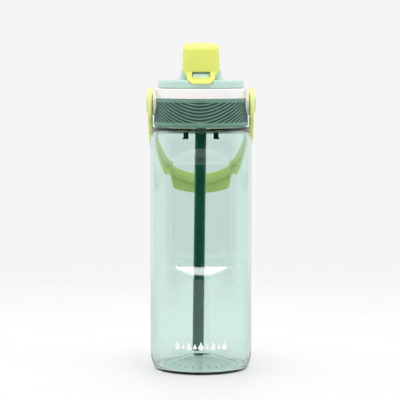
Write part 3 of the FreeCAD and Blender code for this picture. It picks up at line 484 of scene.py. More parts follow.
def rounded(corners: Sequence[Corner]) -> list[Point]:
    """Round the corners of a closed outline.

    Args:
        corners: Each (a, b), or (a, b, radius) where the corner is rounded.

    Returns:
        The outline's points, with each arc as short chords.
    """
    points: list[Point] = []
    for index, corner in enumerate(corners):
        here = Vector(corner[:2])
        radius = corner[2] if len(corner) > 2 else 0.0
        before = Vector(corners[index - 1][:2]) - here
        after = Vector(corners[(index + 1) % len(corners)][:2]) - here
        if radius <= 0 or before.length < 1e-9 or after.length < 1e-9:
            points.append((here.x, here.y))
            continue
        inside = before.angle(after)
        reach = radius / math.tan(inside / 2)
        fit = min(1.0, 0.49 * min(before.length, after.length) / reach)
        radius, reach = radius * fit, reach * fit
        centre = here + (before.normalized() + after.normalized()).normalized() * (
            radius / math.sin(inside / 2)
        )
        first = here + before.normalized() * reach - centre
        last = here + after.normalized() * reach - centre
        turn = math.remainder(
            math.atan2(last.y, last.x) - math.atan2(first.y, first.x), 2 * math.pi
        )
        count = max(2, math.ceil(abs(turn) / math.radians(10) - 0.001))
        start = math.atan2(first.y, first.x)
        for step in range(count + 1):
            angle = start + turn * step / count
            points.append((centre.x + radius * math.cos(angle), centre.y + radius * math.sin(angle)))
    return points


def divided(points: Sequence[Point], longest: float) -> list[Point]:
    """Divide the long sides of a closed outline.

    Args:
        points: The outline.
        longest: The longest side that is left whole.

    Returns:
        The outline with more points.
    """
    result: list[Point] = []
    for start, end in zip(points, [*points[1:], points[0]]):
        if start[0] < 1e-6 and end[0] < 1e-6:
            result.append(start)
            continue
        count = max(1, math.ceil(math.dist(start, end) / longest))
        result += [
            (start[0] + (end[0] - start[0]) * k / count, start[1] + (end[1] - start[1]) * k / count)
            for k in range(count)
        ]
    return result


def to_object(name: str, mesh: bpy.types.Mesh, sharp: float = 38.0) -> bpy.types.Object:
    """Give a mesh an object and smooth shading.

    Args:
        name: The piece's name.
        mesh: Its mesh, in metres.
        sharp: Edges that turn by more than this many degrees stay crisp.

    Returns:
        The object.
    """
    mesh.name = name
    mesh.shade_smooth()
    mesh.set_sharp_from_angle(angle=math.radians(sharp))
    item = bpy.data.objects.new(name, mesh)
    bpy.context.scene.collection.objects.link(item)
    return item


def from_bmesh(name: str, work: bmesh.types.BMesh, sharp: float = 38.0) -> bpy.types.Object:
    """Merge, turn the faces outwards and scale a millimetre mesh to metres.

    Args:
        name: The piece's name.
        work: The mesh, in millimetres. It is freed.
        sharp: Edges that turn by more than this many degrees stay crisp.

    Returns:
        The object.
    """
    bmesh.ops.remove_doubles(work, verts=work.verts, dist=0.001)
    bmesh.ops.recalc_face_normals(work, faces=work.faces)
    bmesh.ops.scale(work, vec=(MM, MM, MM), verts=work.verts)
    mesh = bpy.data.meshes.new(name)
    work.to_mesh(mesh)
    work.free()
    return to_object(name, mesh, sharp)


def lathe(
    name: str,
    corners: Sequence[Corner],
    steps: int = 96,
    longest: float = 400.0,
    warp: Warp | None = None,
    sharp: float = 38.0,
) -> bpy.types.Object:
    """Turn a closed outline about the vertical axis.

    Args:
        name: The piece's name.
        corners: (radius, height) or (radius, height, rounding) corners.
        steps: How many steps make the turn.
        longest: The longest side of the outline that is left whole.
        warp: Gives the place of a point from its radius, angle and height.
        sharp: Edges that turn by more than this many degrees stay crisp.

    Returns:
        The object.
    """
    outline = divided(rounded(corners), longest)
    work = bmesh.new()
    rings = []
    for radius, height in outline:
        count = steps if radius > 1e-6 else 1
        ring = []
        for step in range(count):
            angle = 2 * math.pi * step / steps
            plain = (radius * math.cos(angle), radius * math.sin(angle), height)
            ring.append(work.verts.new(warp(radius, angle, height) if warp else plain))
        rings.append(ring)
    for near, far in zip(rings, [*rings[1:], rings[0]]):
        if len(near) == len(far) == 1:
            continue
        for step in range(steps):
            ahead = (step + 1) % steps
            loop = [near[step % len(near)], near[ahead % len(near)]]
            loop += [far[ahead % len(far)], far[step % len(far)]]
            work.faces.new(list(dict.fromkeys(loop)))
    return from_bmesh(name, work, sharp)


def plate(
    name: str,
    outlines: Sequence[Sequence[Point]],
    half: float,
    edge: float,
    place: Callable[[Vector], Vector],
) -> bpy.types.Object:
    """A flat plate with softly rounded edges, laid out where it belongs.

    Args:
        name: The piece's name.
        outlines: The outline and then its holes, in millimetres.
        half: Half of the plate's thickness.
        edge: The rounding of its edges.
        place: Gives the place of a point from its flat one, both in millimetres.

    Returns:
        The object.
    """
    curve = bpy.data.curves.new(name, "CURVE")
    curve.dimensions = "2D"
    curve.fill_mode = "BOTH"
    curve.extrude = half - edge
    curve.bevel_depth = edge
    curve.bevel_resolution = 2
    curve.offset = -edge
    for outline in outlines:
        spline = curve.splines.new("POLY")
        spline.points.add(len(outline) - 1)
        for point, (across, along) in zip(spline.points, outline):
            point.co = (across, along, 0, 1)
        spline.use_cyclic_u = True
    holder = bpy.data.objects.new(name, curve)
    bpy.context.scene.collection.objects.link(holder)
    flat = holder.evaluated_get(bpy.context.evaluated_depsgraph_get())
    mesh = bpy.data.meshes.new_from_object(flat)
    bpy.data.objects.remove(holder)
    bpy.data.curves.remove(curve)
    work = bmesh.new()
    work.from_mesh(mesh)
    bpy.data.meshes.remove(mesh)
    for vertex in work.verts:
        vertex.co = place(vertex.co.copy())
    return from_bmesh(name, work)


def across_x(point: Vector) -> Vector:
    """Stand a flat (Y, Z) plate up, with its thickness along X."""
    return Vector((point.z, point.x, point.y))


def circle(across: float, along: float, radius: float, count: int = 40) -> list[Point]:
    """The points of a circle, in a plate's own flat coordinates."""
    turns = [2 * math.pi * step / count for step in range(count)]
    return [(across + radius * math.cos(turn), along + radius * math.sin(turn)) for turn in turns]


def work_in(piece: bpy.types.Object, tool: bpy.types.Object, join: Join) -> bpy.types.Object:
    """Add a solid to a piece, cut it out or keep what they share. The tool is used up.

    Args:
        piece: The piece that is kept.
        tool: The other solid.
        join: Whether it is added, cut out or shared.

    Returns:
        The piece, with its new mesh.
    """
    modifier = piece.modifiers.new("joined", "BOOLEAN")
    modifier.operation = join.value
    modifier.solver = "EXACT"
    modifier.object = tool
    result = piece.evaluated_get(bpy.context.evaluated_depsgraph_get())
    mesh = bpy.data.meshes.new_from_object(result)
    piece.modifiers.remove(modifier)
    old = piece.data
    piece.data = mesh
    bpy.data.meshes.remove(old)
    spent = tool.data
    bpy.data.objects.remove(tool)
    bpy.data.meshes.remove(spent)
    mesh.shade_smooth()
    mesh.set_sharp_from_angle(angle=math.radians(38))
    return piece


def lay_along_x(piece: bpy.types.Object, side: int, back: float, height: float) -> None:
    """Turn a lathed piece so that its axis runs along X, and move it to its place.

    Args:
        piece: A piece that was turned about Z.
        side: 1 where its top goes to the right and -1 where it goes to the left.
        back: Where its axis lies along Y, in millimetres.
        height: How high its axis lies, in millimetres.
    """
    turn = Matrix.Rotation(math.radians(90 * side), 4, "Y")
    piece.data.transform(Matrix.Translation((0, back * MM, height * MM)) @ turn)


def soft_least(first: float, second: float, blend: float) -> float:
    """The smaller of two lengths, blended where they are nearly the same."""
    share = min(1.0, max(0.0, 0.5 + (second - first) / (2 * blend)))
    return second + (first - second) * share - blend * share * (1 - share)


def soft_most(first: float, second: float, blend: float) -> float:
    """The larger of two lengths, blended where they are nearly the same."""
    return -soft_least(-first, -second, blend)


def smooth_step(value: float, low: float, high: float) -> float:
    """0 up to low, 1 from high, and a smooth rise between them."""
    share = min(1.0, max(0.0, (value - low) / (high - low)))
    return share * share * (3 - 2 * share)


def screw_ridge(angle: float, away: float, half_root: float) -> float:
    """How much of its full depth a one-turn screw ridge has at a point, from 0 to 1.

    Args:
        angle: How far round the turn the point lies, in radians.
        away: How far it lies above or below the ridge's line.
        half_root: Half the ridge's width at its root.

    Returns:
        The share of the full depth.
    """
    turn = angle / (2 * math.pi)
    ends = smooth_step(turn, 0.0, RUN_OUT) * smooth_step(1 - turn, 0.0, RUN_OUT)
    return ends * (1 - smooth_step(away, CREST_HALF_WIDTH, half_root))


def both_sides(side: Sequence[Corner]) -> list[Corner]:
    """A closed outline from its right-hand side, listed from one end to the other."""
    return [*side, *((-corner[0], *corner[1:]) for corner in reversed(side))]


def band(inner: float, outer: float, low: float, high: float, rounding: float) -> list[Corner]:
    """The section of a plain ring with rounded corners."""
    return [
        (inner, low, rounding),
        (outer, low, rounding),
        (outer, high, rounding),
        (inner, high, rounding),
    ]


def settle(
    piece: bpy.types.Object,
    rider: Rider,
    finish: bpy.types.Material,
    nodes: Iterable[str] = (),
) -> None:
    """Dress a finished piece and tell the frame what it is.

    Args:
        piece: The piece, in place.
        rider: The body that it moves with.
        finish: Its material.
        nodes: The CAD nodes that it stands for.
    """
    piece.data.materials.clear()
    piece.data.materials.append(finish)
    if nodes:
        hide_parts(*nodes)
    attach(piece, rider.value)
    LOG.info("%s: %d faces, rides on %s", piece.name, len(piece.data.polygons), rider.value)


# ---------------------------------------------------------------- geometry nodes


class RuleTree:
    """A geometry node tree with named inputs, which makes a plain mesh from a rule."""

    def __init__(self, name: str, sizes: dict[str, float | int], takes_mesh: bool = False) -> None:
        """Start the tree.

        Args:
            name: What the tree makes.
            sizes: The inputs and their values; whole numbers make integer inputs.
            takes_mesh: True where the rule shapes a mesh that it is given.
        """
        self.tree = bpy.data.node_groups.new(name, "GeometryNodeTree")
        self.sizes = sizes
        face = self.tree.interface
        face.new_socket(name="Geometry", in_out="OUTPUT", socket_type="NodeSocketGeometry")
        if takes_mesh:
            face.new_socket(name="Geometry", in_out="INPUT", socket_type="NodeSocketGeometry")
        self.identifiers = {}
        for label, value in sizes.items():
            kind = "NodeSocketInt" if isinstance(value, int) else "NodeSocketFloat"
            socket = face.new_socket(name=label, in_out="INPUT", socket_type=kind)
            self.identifiers[label] = socket.identifier
        self.given = add_node(self.tree, "NodeGroupInput").outputs

    def calc(
        self, operation: str, first: object, second: object = 0.0, third: object = 0.0
    ) -> bpy.types.NodeSocket:
        """One step of arithmetic.

        Args:
            operation: The Math node's operation.
            first: A number or a socket.
            second: A number or a socket.
            third: A number or a socket.

        Returns:
            The result's socket.
        """
        settings = {"operation": operation}
        inputs = {0: first, 1: second, 2: third}
        return add_node(self.tree, "ShaderNodeMath", settings, inputs).outputs["Value"]

    def finish(self, geometry: bpy.types.NodeSocket, material: bpy.types.Material) -> None:
        """End the tree with real geometry in one material.

        Args:
            geometry: What the rule makes.
            material: Its finish.
        """
        real = add_node(self.tree, "GeometryNodeRealizeInstances", inputs={0: geometry})
        dressed = add_node(
            self.tree,
            "GeometryNodeSetMaterial",
            inputs={"Geometry": real.outputs[0], "Material": material},
        )
        add_node(self.tree, "NodeGroupOutput", inputs={0: dressed.outputs[0]})

    def make(self, name: str, base: bpy.types.Object | None = None) -> bpy.types.Object:
        """Run the rule once and keep its result as a plain mesh.

        Args:
            name: The piece's name.
            base: The mesh that the rule shapes, which is used up.

        Returns:
            The object.
        """
        holder = base
        if holder is None:
            holder = bpy.data.objects.new(name, bpy.data.meshes.new(name))
            bpy.context.scene.collection.objects.link(holder)
        modifier = holder.modifiers.new("rule", "NODES")
        modifier.node_group = self.tree
        for label, value in self.sizes.items():
            modifier[self.identifiers[label]] = value
        result = holder.evaluated_get(bpy.context.evaluated_depsgraph_get())
        mesh = bpy.data.meshes.new_from_object(result)
        holder.modifiers.remove(modifier)
        spent = holder.data
        bpy.data.objects.remove(holder)
        bpy.data.meshes.remove(spent)
        return to_object(name, mesh)


# ---------------------------------------------------------------- bottle


@dataclass
class Bottle:
    """The clear bottle, its printed droplets and the raised ticks under its domed foot."""

    radius: float = 36.5
    wall: float = 2.0
    foot_radius: float = 33.75
    heel: float = 9.0
    punt_radius: float = 27.5
    punt_top_radius: float = 6.5
    punt_height: float = 9.3
    shoulder_low: float = 166.5
    shoulder_high: float = 175.2
    shoulder_radius: float = 34.6
    neck_radius: float = 28.6
    neck_bore: float = 26.2
    neck_top: float = 196.0
    flat_depth: float = 28.5
    flat_low: float = 78.5
    flat_high: float = 151.0
    facet_low: float = 70.5
    facet_high: float = 160.0
    facet_blend: float = 1.6
    edge_blend: float = 1.4
    row_pitch: float = 0.45
    thread_start: float = 181.0
    thread_lead: float = 4.5
    thread_depth: float = 1.1
    thread_half_root: float = 0.95
    print_height: float = 20.4
    print_pitch: float = 4.3
    print_count: int = 9
    droplet: float = 2.1
    tick_count: int = 24
    tick_radius: float = 21.0

    def flat_at(self, height: float) -> float:
        """How far in front of the axis the finger flat or its sloping facet lies."""
        rise = self.radius - self.flat_depth
        low = (self.flat_low - height) * rise / (self.flat_low - self.facet_low)
        high = (height - self.flat_high) * rise / (self.facet_high - self.flat_high)
        return self.flat_depth + soft_most(soft_most(low, high, self.facet_blend), 0, self.facet_blend)

    def thread_at(self, angle: float, height: float) -> float:
        """How far the screw ridge stands off the neck."""
        away = abs(height - self.thread_start - self.thread_lead * angle / (2 * math.pi))
        return self.thread_depth * screw_ridge(angle, away, self.thread_half_root)

    def place(self, radius: float, angle: float, height: float) -> tuple[float, float, float]:
        """Where a point of the turned bottle goes once its flats and thread are formed."""
        if abs(radius - self.neck_radius) < ON_WALL:
            radius += self.thread_at(angle, height)
        across, ahead = radius * math.cos(angle), radius * math.sin(angle)
        if self.facet_low - 6 < height < self.facet_high + 6:
            inset = self.radius - radius
            if inset < self.wall + 0.1:
                limit = self.flat_at(height) - inset
                ahead = math.copysign(soft_least(abs(ahead), limit, self.edge_blend), ahead)
        return across, ahead, height

    def fine_rows(self, radius: float) -> list[Corner]:
        """Closely set rows where a flat's sloping facets bend, from the lowest to the highest."""
        bands = ((self.facet_low - 3, self.flat_low + 5), (self.flat_high - 5, self.facet_high + 3))
        rows = []
        for low, high in bands:
            count = round((high - low) / self.row_pitch)
            rows += [(radius, low + (high - low) * step / count) for step in range(count + 1)]
        return rows

    def build_shell(self) -> bpy.types.Object:
        """The blown shell, outside and inside, closed at its lip.

        Returns:
            The object.
        """
        inner = self.radius - self.wall
        corners = [
            (0.0, self.punt_height),
            (self.punt_top_radius, self.punt_height, 9.0),
            (self.punt_radius, 0.0, 1.4),
            (self.foot_radius, 0.0, 1.4),
            (self.radius, self.heel, 16.0),
            *self.fine_rows(self.radius),
            (self.radius, self.shoulder_low, 14.0),
            (self.shoulder_radius, self.shoulder_high, 0.8),
            (self.neck_radius, self.shoulder_high, 0.5),
            (self.neck_radius, self.neck_top, 0.6),
            (self.neck_bore, self.neck_top, 0.6),
            (self.neck_bore, self.shoulder_high - 1.8, 1.0),
            (self.shoulder_radius - 2.0, self.shoulder_high - 2.4, 2.0),
            (inner, self.shoulder_low, 12.0),
            *reversed(self.fine_rows(inner)),
            (inner, self.heel + 0.6, 14.0),
            (self.foot_radius - 1.7, 2.4, 2.4),
            (self.punt_radius - 0.2, 2.4, 2.0),
            (self.punt_top_radius, self.punt_height + self.wall, 9.0),
            (0.0, self.punt_height + self.wall),
        ]
        return lathe("clear_bottle", corners, 208, 2.4, self.place, sharp=75.0)

    def build_print(self, ink: bpy.types.Material) -> bpy.types.Object:
        """A row of printed droplets, alternately large and small, round the front of the heel.

        Args:
            ink: The ink's material.

        Returns:
            The object.
        """
        sizes = {
            "Count": self.print_count,
            "Pitch": self.print_pitch * MM,
            "Radius": (self.radius + 0.02) * MM,
            "Height": self.print_height * MM,
            "Droplet": self.droplet * MM,
            "Film": 0.05 * MM,
        }
        rule = RuleTree("Row of droplets", sizes)
        tree, given = rule.tree, rule.given
        line = add_node(tree, "GeometryNodeMeshLine", {"mode": "OFFSET"}, {"Count": given["Count"]})
        index = add_node(tree, "GeometryNodeInputIndex").outputs[0]
        middle = rule.calc("MULTIPLY", rule.calc("SUBTRACT", given["Count"], 1.0), 0.5)
        arc = rule.calc("MULTIPLY", rule.calc("SUBTRACT", index, middle), given["Pitch"])
        angle = rule.calc("DIVIDE", arc, given["Radius"])
        place = add_node(
            tree,
            "ShaderNodeCombineXYZ",
            inputs={
                0: rule.calc("MULTIPLY", rule.calc("SINE", angle), given["Radius"]),
                1: rule.calc(
                    "MULTIPLY", rule.calc("MULTIPLY", rule.calc("COSINE", angle), -1.0), given["Radius"]
                ),
                2: given["Height"],
            },
        )
        laid = add_node(
            tree,
            "GeometryNodeSetPosition",
            inputs={"Geometry": line.outputs[0], "Position": place.outputs[0]},
        )
        disc = add_node(
            tree,
            "GeometryNodeMeshCircle",
            {"fill_type": "TRIANGLE_FAN"},
            {"Vertices": 28, "Radius": given["Droplet"]},
        )
        position = add_node(tree, "GeometryNodeInputPosition").outputs[0]
        split = add_node(tree, "ShaderNodeSeparateXYZ", inputs={0: position}).outputs
        upper = rule.calc("MAXIMUM", rule.calc("DIVIDE", split[1], given["Droplet"]), 0.0)
        narrow = rule.calc("SUBTRACT", 1.0, rule.calc("MULTIPLY", upper, 0.75))
        drop = add_node(
            tree,
            "ShaderNodeCombineXYZ",
            inputs={
                0: rule.calc("MULTIPLY", split[0], narrow),
                1: 0.0,
                2: rule.calc("MULTIPLY", split[1], rule.calc("ADD", 1.0, upper)),
            },
        )
        shaped = add_node(
            tree,
            "GeometryNodeSetPosition",
            inputs={"Geometry": disc.outputs[0], "Position": drop.outputs[0]},
        )
        thick = add_node(
            tree,
            "GeometryNodeExtrudeMesh",
            {"mode": "FACES"},
            {
                "Mesh": shaped.outputs[0],
                "Offset": (0.0, -1.0, 0.0),
                "Offset Scale": given["Film"],
                "Individual": False,
            },
        )
        turn = add_node(tree, "ShaderNodeCombineXYZ", inputs={2: angle})
        odd = rule.calc("MODULO", index, 2.0)
        scale = rule.calc("SUBTRACT", 1.0, rule.calc("MULTIPLY", odd, 0.35))
        row = add_node(
            tree,
            "GeometryNodeInstanceOnPoints",
            inputs={
                "Points": laid.outputs[0],
                "Instance": thick.outputs["Mesh"],
                "Rotation": turn.outputs[0],
                "Scale": scale,
            },
        )
        rule.finish(row.outputs[0], ink)
        return rule.make("printed_droplets")

    def build_ticks(self, clear: bpy.types.Material) -> bpy.types.Object:
        """A ring of small raised ticks under the dome of the foot.

        Args:
            clear: The bottle's own material.

        Returns:
            The object.
        """
        slope = math.atan2(self.punt_height, self.punt_radius - self.punt_top_radius)
        height = (self.punt_radius - self.tick_radius) * math.tan(slope)
        sizes = {
            "Count": self.tick_count,
            "Radius": self.tick_radius * MM,
            "Height": (height - 0.1) * MM,
            "Slope": slope,
            "Length": 3.4 * MM,
            "Width": 0.9 * MM,
        }
        rule = RuleTree("Ring of ticks", sizes)
        tree, given = rule.tree, rule.given
        ring = add_node(
            tree, "GeometryNodeMeshCircle", inputs={"Vertices": given["Count"], "Radius": given["Radius"]}
        )
        lift = add_node(tree, "ShaderNodeCombineXYZ", inputs={2: given["Height"]})
        raised = add_node(
            tree,
            "GeometryNodeSetPosition",
            inputs={"Geometry": ring.outputs[0], "Offset": lift.outputs[0]},
        )
        index = add_node(tree, "GeometryNodeInputIndex").outputs[0]
        step = rule.calc("DIVIDE", 2 * math.pi, given["Count"])
        turn = add_node(
            tree,
            "ShaderNodeCombineXYZ",
            inputs={1: given["Slope"], 2: rule.calc("MULTIPLY", index, step)},
        )
        size = add_node(
            tree,
            "ShaderNodeCombineXYZ",
            inputs={0: given["Length"], 1: given["Width"], 2: given["Width"]},
        )
        bead = add_node(
            tree,
            "GeometryNodeMeshUVSphere",
            inputs={"Segments": 12, "Rings": 8, "Radius": 0.5},
        )
        beads = add_node(
            tree,
            "GeometryNodeInstanceOnPoints",
            inputs={
                "Points": raised.outputs[0],
                "Instance": bead.outputs[0],
                "Rotation": turn.outputs[0],
                "Scale": size.outputs[0],
            },
        )
        rule.finish(beads.outputs[0], clear)
        return rule.make("foot_ticks")

    def build(self) -> None:
        """Build and settle every piece of the bottle."""
        clear = CLEAR.build()
        settle(self.build_shell(), Rider.BOTTLE, clear, ["bottle_body"])
        settle(self.build_ticks(clear), Rider.BOTTLE, clear)
        ink = INK.build()
        settle(self.build_print(ink), Rider.BOTTLE, ink)


# ---------------------------------------------------------------- lid


@dataclass
class Sleeve:
    """The grip sleeve, whose ribs are nested bows that dip in front and behind."""

    RIB_ATTRIBUTE = "rib"

    bore: float = 31.7
    step_low: float = 175.6
    step_radius: float = 33.3
    low: float = 176.6
    high: float = 195.5
    low_radius: float = 34.0
    high_radius: float = 33.0
    border: float = 2.1
    rib_pitch: float = 2.4
    rib_height: float = 0.55
    rib_sharpness: float = 1.6
    rib_slope: float = 0.6
    rib_bend: float = 9.0
    fan_offset: float = -1.0
    window: float = 8.3
    pivot_height: float = 191.5

    def ribs(self, finish: bpy.types.Material) -> RuleTree:
        """The rule that raises the ribs and writes how high each point stands.

        Args:
            finish: The elastomer's material.

        Returns:
            The tree.
        """
        sizes = {
            "Pitch": self.rib_pitch * MM,
            "Rib height": self.rib_height * MM,
            "Slope": self.rib_slope,
            "Bend": self.rib_bend * MM,
            "Fan offset": self.fan_offset * MM,
            "Sharpness": self.rib_sharpness,
            "Low": (self.low + self.border) * MM,
            "High": (self.high - self.border) * MM,
            "Skin": (self.high_radius - 0.6) * MM,
            "Fade": 0.5 * MM,
        }
        rule = RuleTree("Nested ribs", sizes, takes_mesh=True)
        tree, given = rule.tree, rule.given
        position = add_node(tree, "GeometryNodeInputPosition").outputs[0]
        across, ahead, height = add_node(tree, "ShaderNodeSeparateXYZ", inputs={0: position}).outputs
        flat = add_node(tree, "ShaderNodeCombineXYZ", inputs={0: across, 1: ahead}).outputs[0]
        radius = add_node(
            tree, "ShaderNodeVectorMath", {"operation": "LENGTH"}, {0: flat}
        ).outputs["Value"]
        angle = rule.calc("ARCTAN2", across, rule.calc("ABSOLUTE", ahead))
        along = rule.calc("SUBTRACT", rule.calc("MULTIPLY", angle, radius), given["Fan offset"])
        climb = rule.calc("MULTIPLY", along, given["Slope"])
        squares = rule.calc(
            "MULTIPLY_ADD", climb, climb, rule.calc("MULTIPLY", given["Bend"], given["Bend"])
        )
        above_bend = rule.calc("SUBTRACT", height, rule.calc("SQRT", squares))
        phase = rule.calc("DIVIDE", above_bend, given["Pitch"])
        wave = rule.calc("COSINE", rule.calc("MULTIPLY", phase, 2 * math.pi))
        crest = rule.calc("POWER", rule.calc("MULTIPLY_ADD", wave, 0.5, 0.5), given["Sharpness"])
        above = add_node(
            tree,
            "ShaderNodeMapRange",
            inputs={
                "Value": height,
                "From Min": given["Low"],
                "From Max": rule.calc("ADD", given["Low"], given["Fade"]),
            },
        ).outputs["Result"]
        below = add_node(
            tree,
            "ShaderNodeMapRange",
            inputs={
                "Value": height,
                "From Min": given["High"],
                "From Max": rule.calc("SUBTRACT", given["High"], given["Fade"]),
            },
        ).outputs["Result"]
        outside = rule.calc("GREATER_THAN", radius, given["Skin"])
        mask = rule.calc("MULTIPLY", rule.calc("MULTIPLY", above, below), outside)
        depth = rule.calc("MULTIPLY", rule.calc("SUBTRACT", 1.0, crest), mask)
        inward = add_node(
            tree, "ShaderNodeVectorMath", {"operation": "NORMALIZE"}, {0: flat}
        ).outputs["Vector"]
        offset = add_node(
            tree,
            "ShaderNodeVectorMath",
            {"operation": "SCALE"},
            {
                0: inward,
                "Scale": rule.calc("MULTIPLY", rule.calc("MULTIPLY", depth, given["Rib height"]), -1.0),
            },
        ).outputs["Vector"]
        moved = add_node(
            tree, "GeometryNodeSetPosition", inputs={"Geometry": given["Geometry"], "Offset": offset}
        )
        # The elastomer reads this rib height to paint shade into the grooves.
        stored = add_node(
            tree,
            "GeometryNodeStoreNamedAttribute",
            {"data_type": "FLOAT", "domain": "POINT"},
            {
                "Geometry": moved.outputs[0],
                "Name": self.RIB_ATTRIBUTE,
                "Value": rule.calc("SUBTRACT", 1.0, depth),
            },
        )
        rule.finish(stored.outputs[0], finish)
        return rule

    def build(self) -> None:
        """Build and settle the sleeve."""
        finish = ELASTOMER.build()
        corners = [
            (self.bore, self.step_low, 0.3),
            (self.step_radius, self.step_low, 0.3),
            (self.step_radius, self.low, 0.2),
            (self.low_radius, self.low, 0.4),
            (self.high_radius, self.high, 0.6),
            (self.bore, self.high, 0.3),
        ]
        blank = lathe("sleeve_blank", corners, 420, 0.28)
        sleeve = self.ribs(finish).make("ribbed_sleeve", blank)
        for side in (-1, 1):
            span = [(0, 20), (self.window, 20), (self.window, 45), (0, 45)]
            hole = lathe("window", span, 72)
            lay_along_x(hole, side, 0, self.pivot_height)
            sleeve = work_in(sleeve, hole, Join.CUT)
        settle(sleeve, Rider.LID, finish, ["grip_sleeve"])


@dataclass
class LidShell:
    """The white screw lid, its two handle bosses, its seals and the pivot pins."""

    bore: float = 30.1
    skirt_radius: float = 31.6
    skirt_low: float = 176.8
    rim_low: float = 195.7
    rim_radius: float = 32.6
    rim_top: float = 203.0
    deck_low: float = 198.4
    deck_top: float = 200.8
    recess_radius: float = 29.9
    core_bore: float = 14.2
    boss_radius: float = 8.0
    boss_face: float = 34.7
    thread_start: float = 178.75
    thread_lead: float = 4.5
    thread_depth: float = 1.1
    thread_half_root: float = 0.95
    pivot_height: float = 191.5
    pivot_radius: float = 3.6
    button_radius: float = 5.6
    button_low: float = 38.3
    button_face: float = 39.3
    gasket: tuple[float, ...] = (26.4, 28.5, 196.15, 198.15, 0.5)
    rim_seal: tuple[float, ...] = (27.8, 29.6, 200.85, 201.75, 0.3)
    o_ring_place: Point = (13.45, 199.4)
    o_ring_wire: float = 0.58

    def place(self, radius: float, angle: float, height: float) -> tuple[float, float, float]:
        """Where a point of the turned lid goes once its inner screw ridge is formed."""
        if abs(radius - self.bore) < ON_WALL:
            away = abs(height - self.thread_start - self.thread_lead * angle / (2 * math.pi))
            radius -= self.thread_depth * screw_ridge(angle, away, self.thread_half_root)
        return radius * math.cos(angle), radius * math.sin(angle), height

    def build_shell(self) -> bpy.types.Object:
        """The turned lid with its bosses and their sockets.

        Returns:
            The object.
        """
        corners = [
            (self.bore, self.skirt_low, 0.4),
            (self.skirt_radius, self.skirt_low, 0.4),
            (self.skirt_radius, self.rim_low, 0.3),
            (self.rim_radius, self.rim_low, 0.6),
            (self.rim_radius, self.rim_top, 1.1),
            (self.recess_radius, self.rim_top, 0.4),
            (self.recess_radius, self.deck_top, 0.3),
            (self.core_bore, self.deck_top, 0.4),
            (self.core_bore, self.deck_low, 0.4),
            (self.bore, self.deck_low, 0.8),
        ]
        shell = lathe("white_lid", corners, 160, 1.0, self.place)
        for side in (-1, 1):
            face = [
                (0, self.skirt_radius - 1.1),
                (self.boss_radius, self.skirt_radius - 1.1),
                (self.boss_radius, self.boss_face, 0.7),
                (self.pivot_radius + 0.05, self.boss_face, 0.3),
                (self.pivot_radius + 0.05, self.skirt_radius - 0.6),
                (0, self.skirt_radius - 0.6),
            ]
            boss = lathe("boss", face, 72)
            lay_along_x(boss, side, 0, self.pivot_height)
            shell = work_in(shell, boss, Join.ADD)
        return shell

    def build_pin(self, side: int, name: str) -> bpy.types.Object:
        """One pivot pin, with a dished button and a stem.

        Args:
            side: 1 for the right and -1 for the left.
            name: The piece's name.

        Returns:
            The object.
        """
        corners = [
            (0, self.skirt_radius - 0.4),
            (self.pivot_radius - 0.02, self.skirt_radius - 0.4, 0.6),
            (self.pivot_radius - 0.02, self.button_low, 0.1),
            (self.button_radius, self.button_low, 0.2),
            (self.button_radius, self.button_face - 0.1, 0.5),
            (self.button_radius - 1.4, self.button_face, 0.3),
            (self.button_radius - 2.2, self.button_face - 0.3, 0.3),
            (0, self.button_face - 0.35),
        ]
        pin = lathe(name, corners, 64)
        lay_along_x(pin, side, 0, self.pivot_height)
        return pin

    def build(self) -> None:
        """Build and settle every piece of the lid's shell."""
        settle(self.build_shell(), Rider.LID, WHITE_PP.build(), ["lid_shell"])
        grey = GREY_ACETAL.build()
        for side, name in ((-1, "left_pivot_pin"), (1, "right_pivot_pin")):
            pin = self.build_pin(side, name.replace("pivot", "dished"))
            settle(pin, Rider.LID, grey, [name])
        milky = MILKY_SILICONE.build()
        black = BLACK_SILICONE.build()
        gasket = lathe("lip_gasket", band(*self.gasket), 120)
        settle(gasket, Rider.GASKET, milky, ["neck_gasket"])
        ring = lathe("rim_seal", band(*self.rim_seal), 120)
        settle(ring, Rider.LID, black, ["cover_seal"])
        middle, level = self.o_ring_place
        wire = [(middle + out, level + up) for out, up in circle(0, 0, self.o_ring_wire, 16)]
        settle(lathe("core_ring", wire, 96), Rider.SEAL, black, ["carrier_seal"])


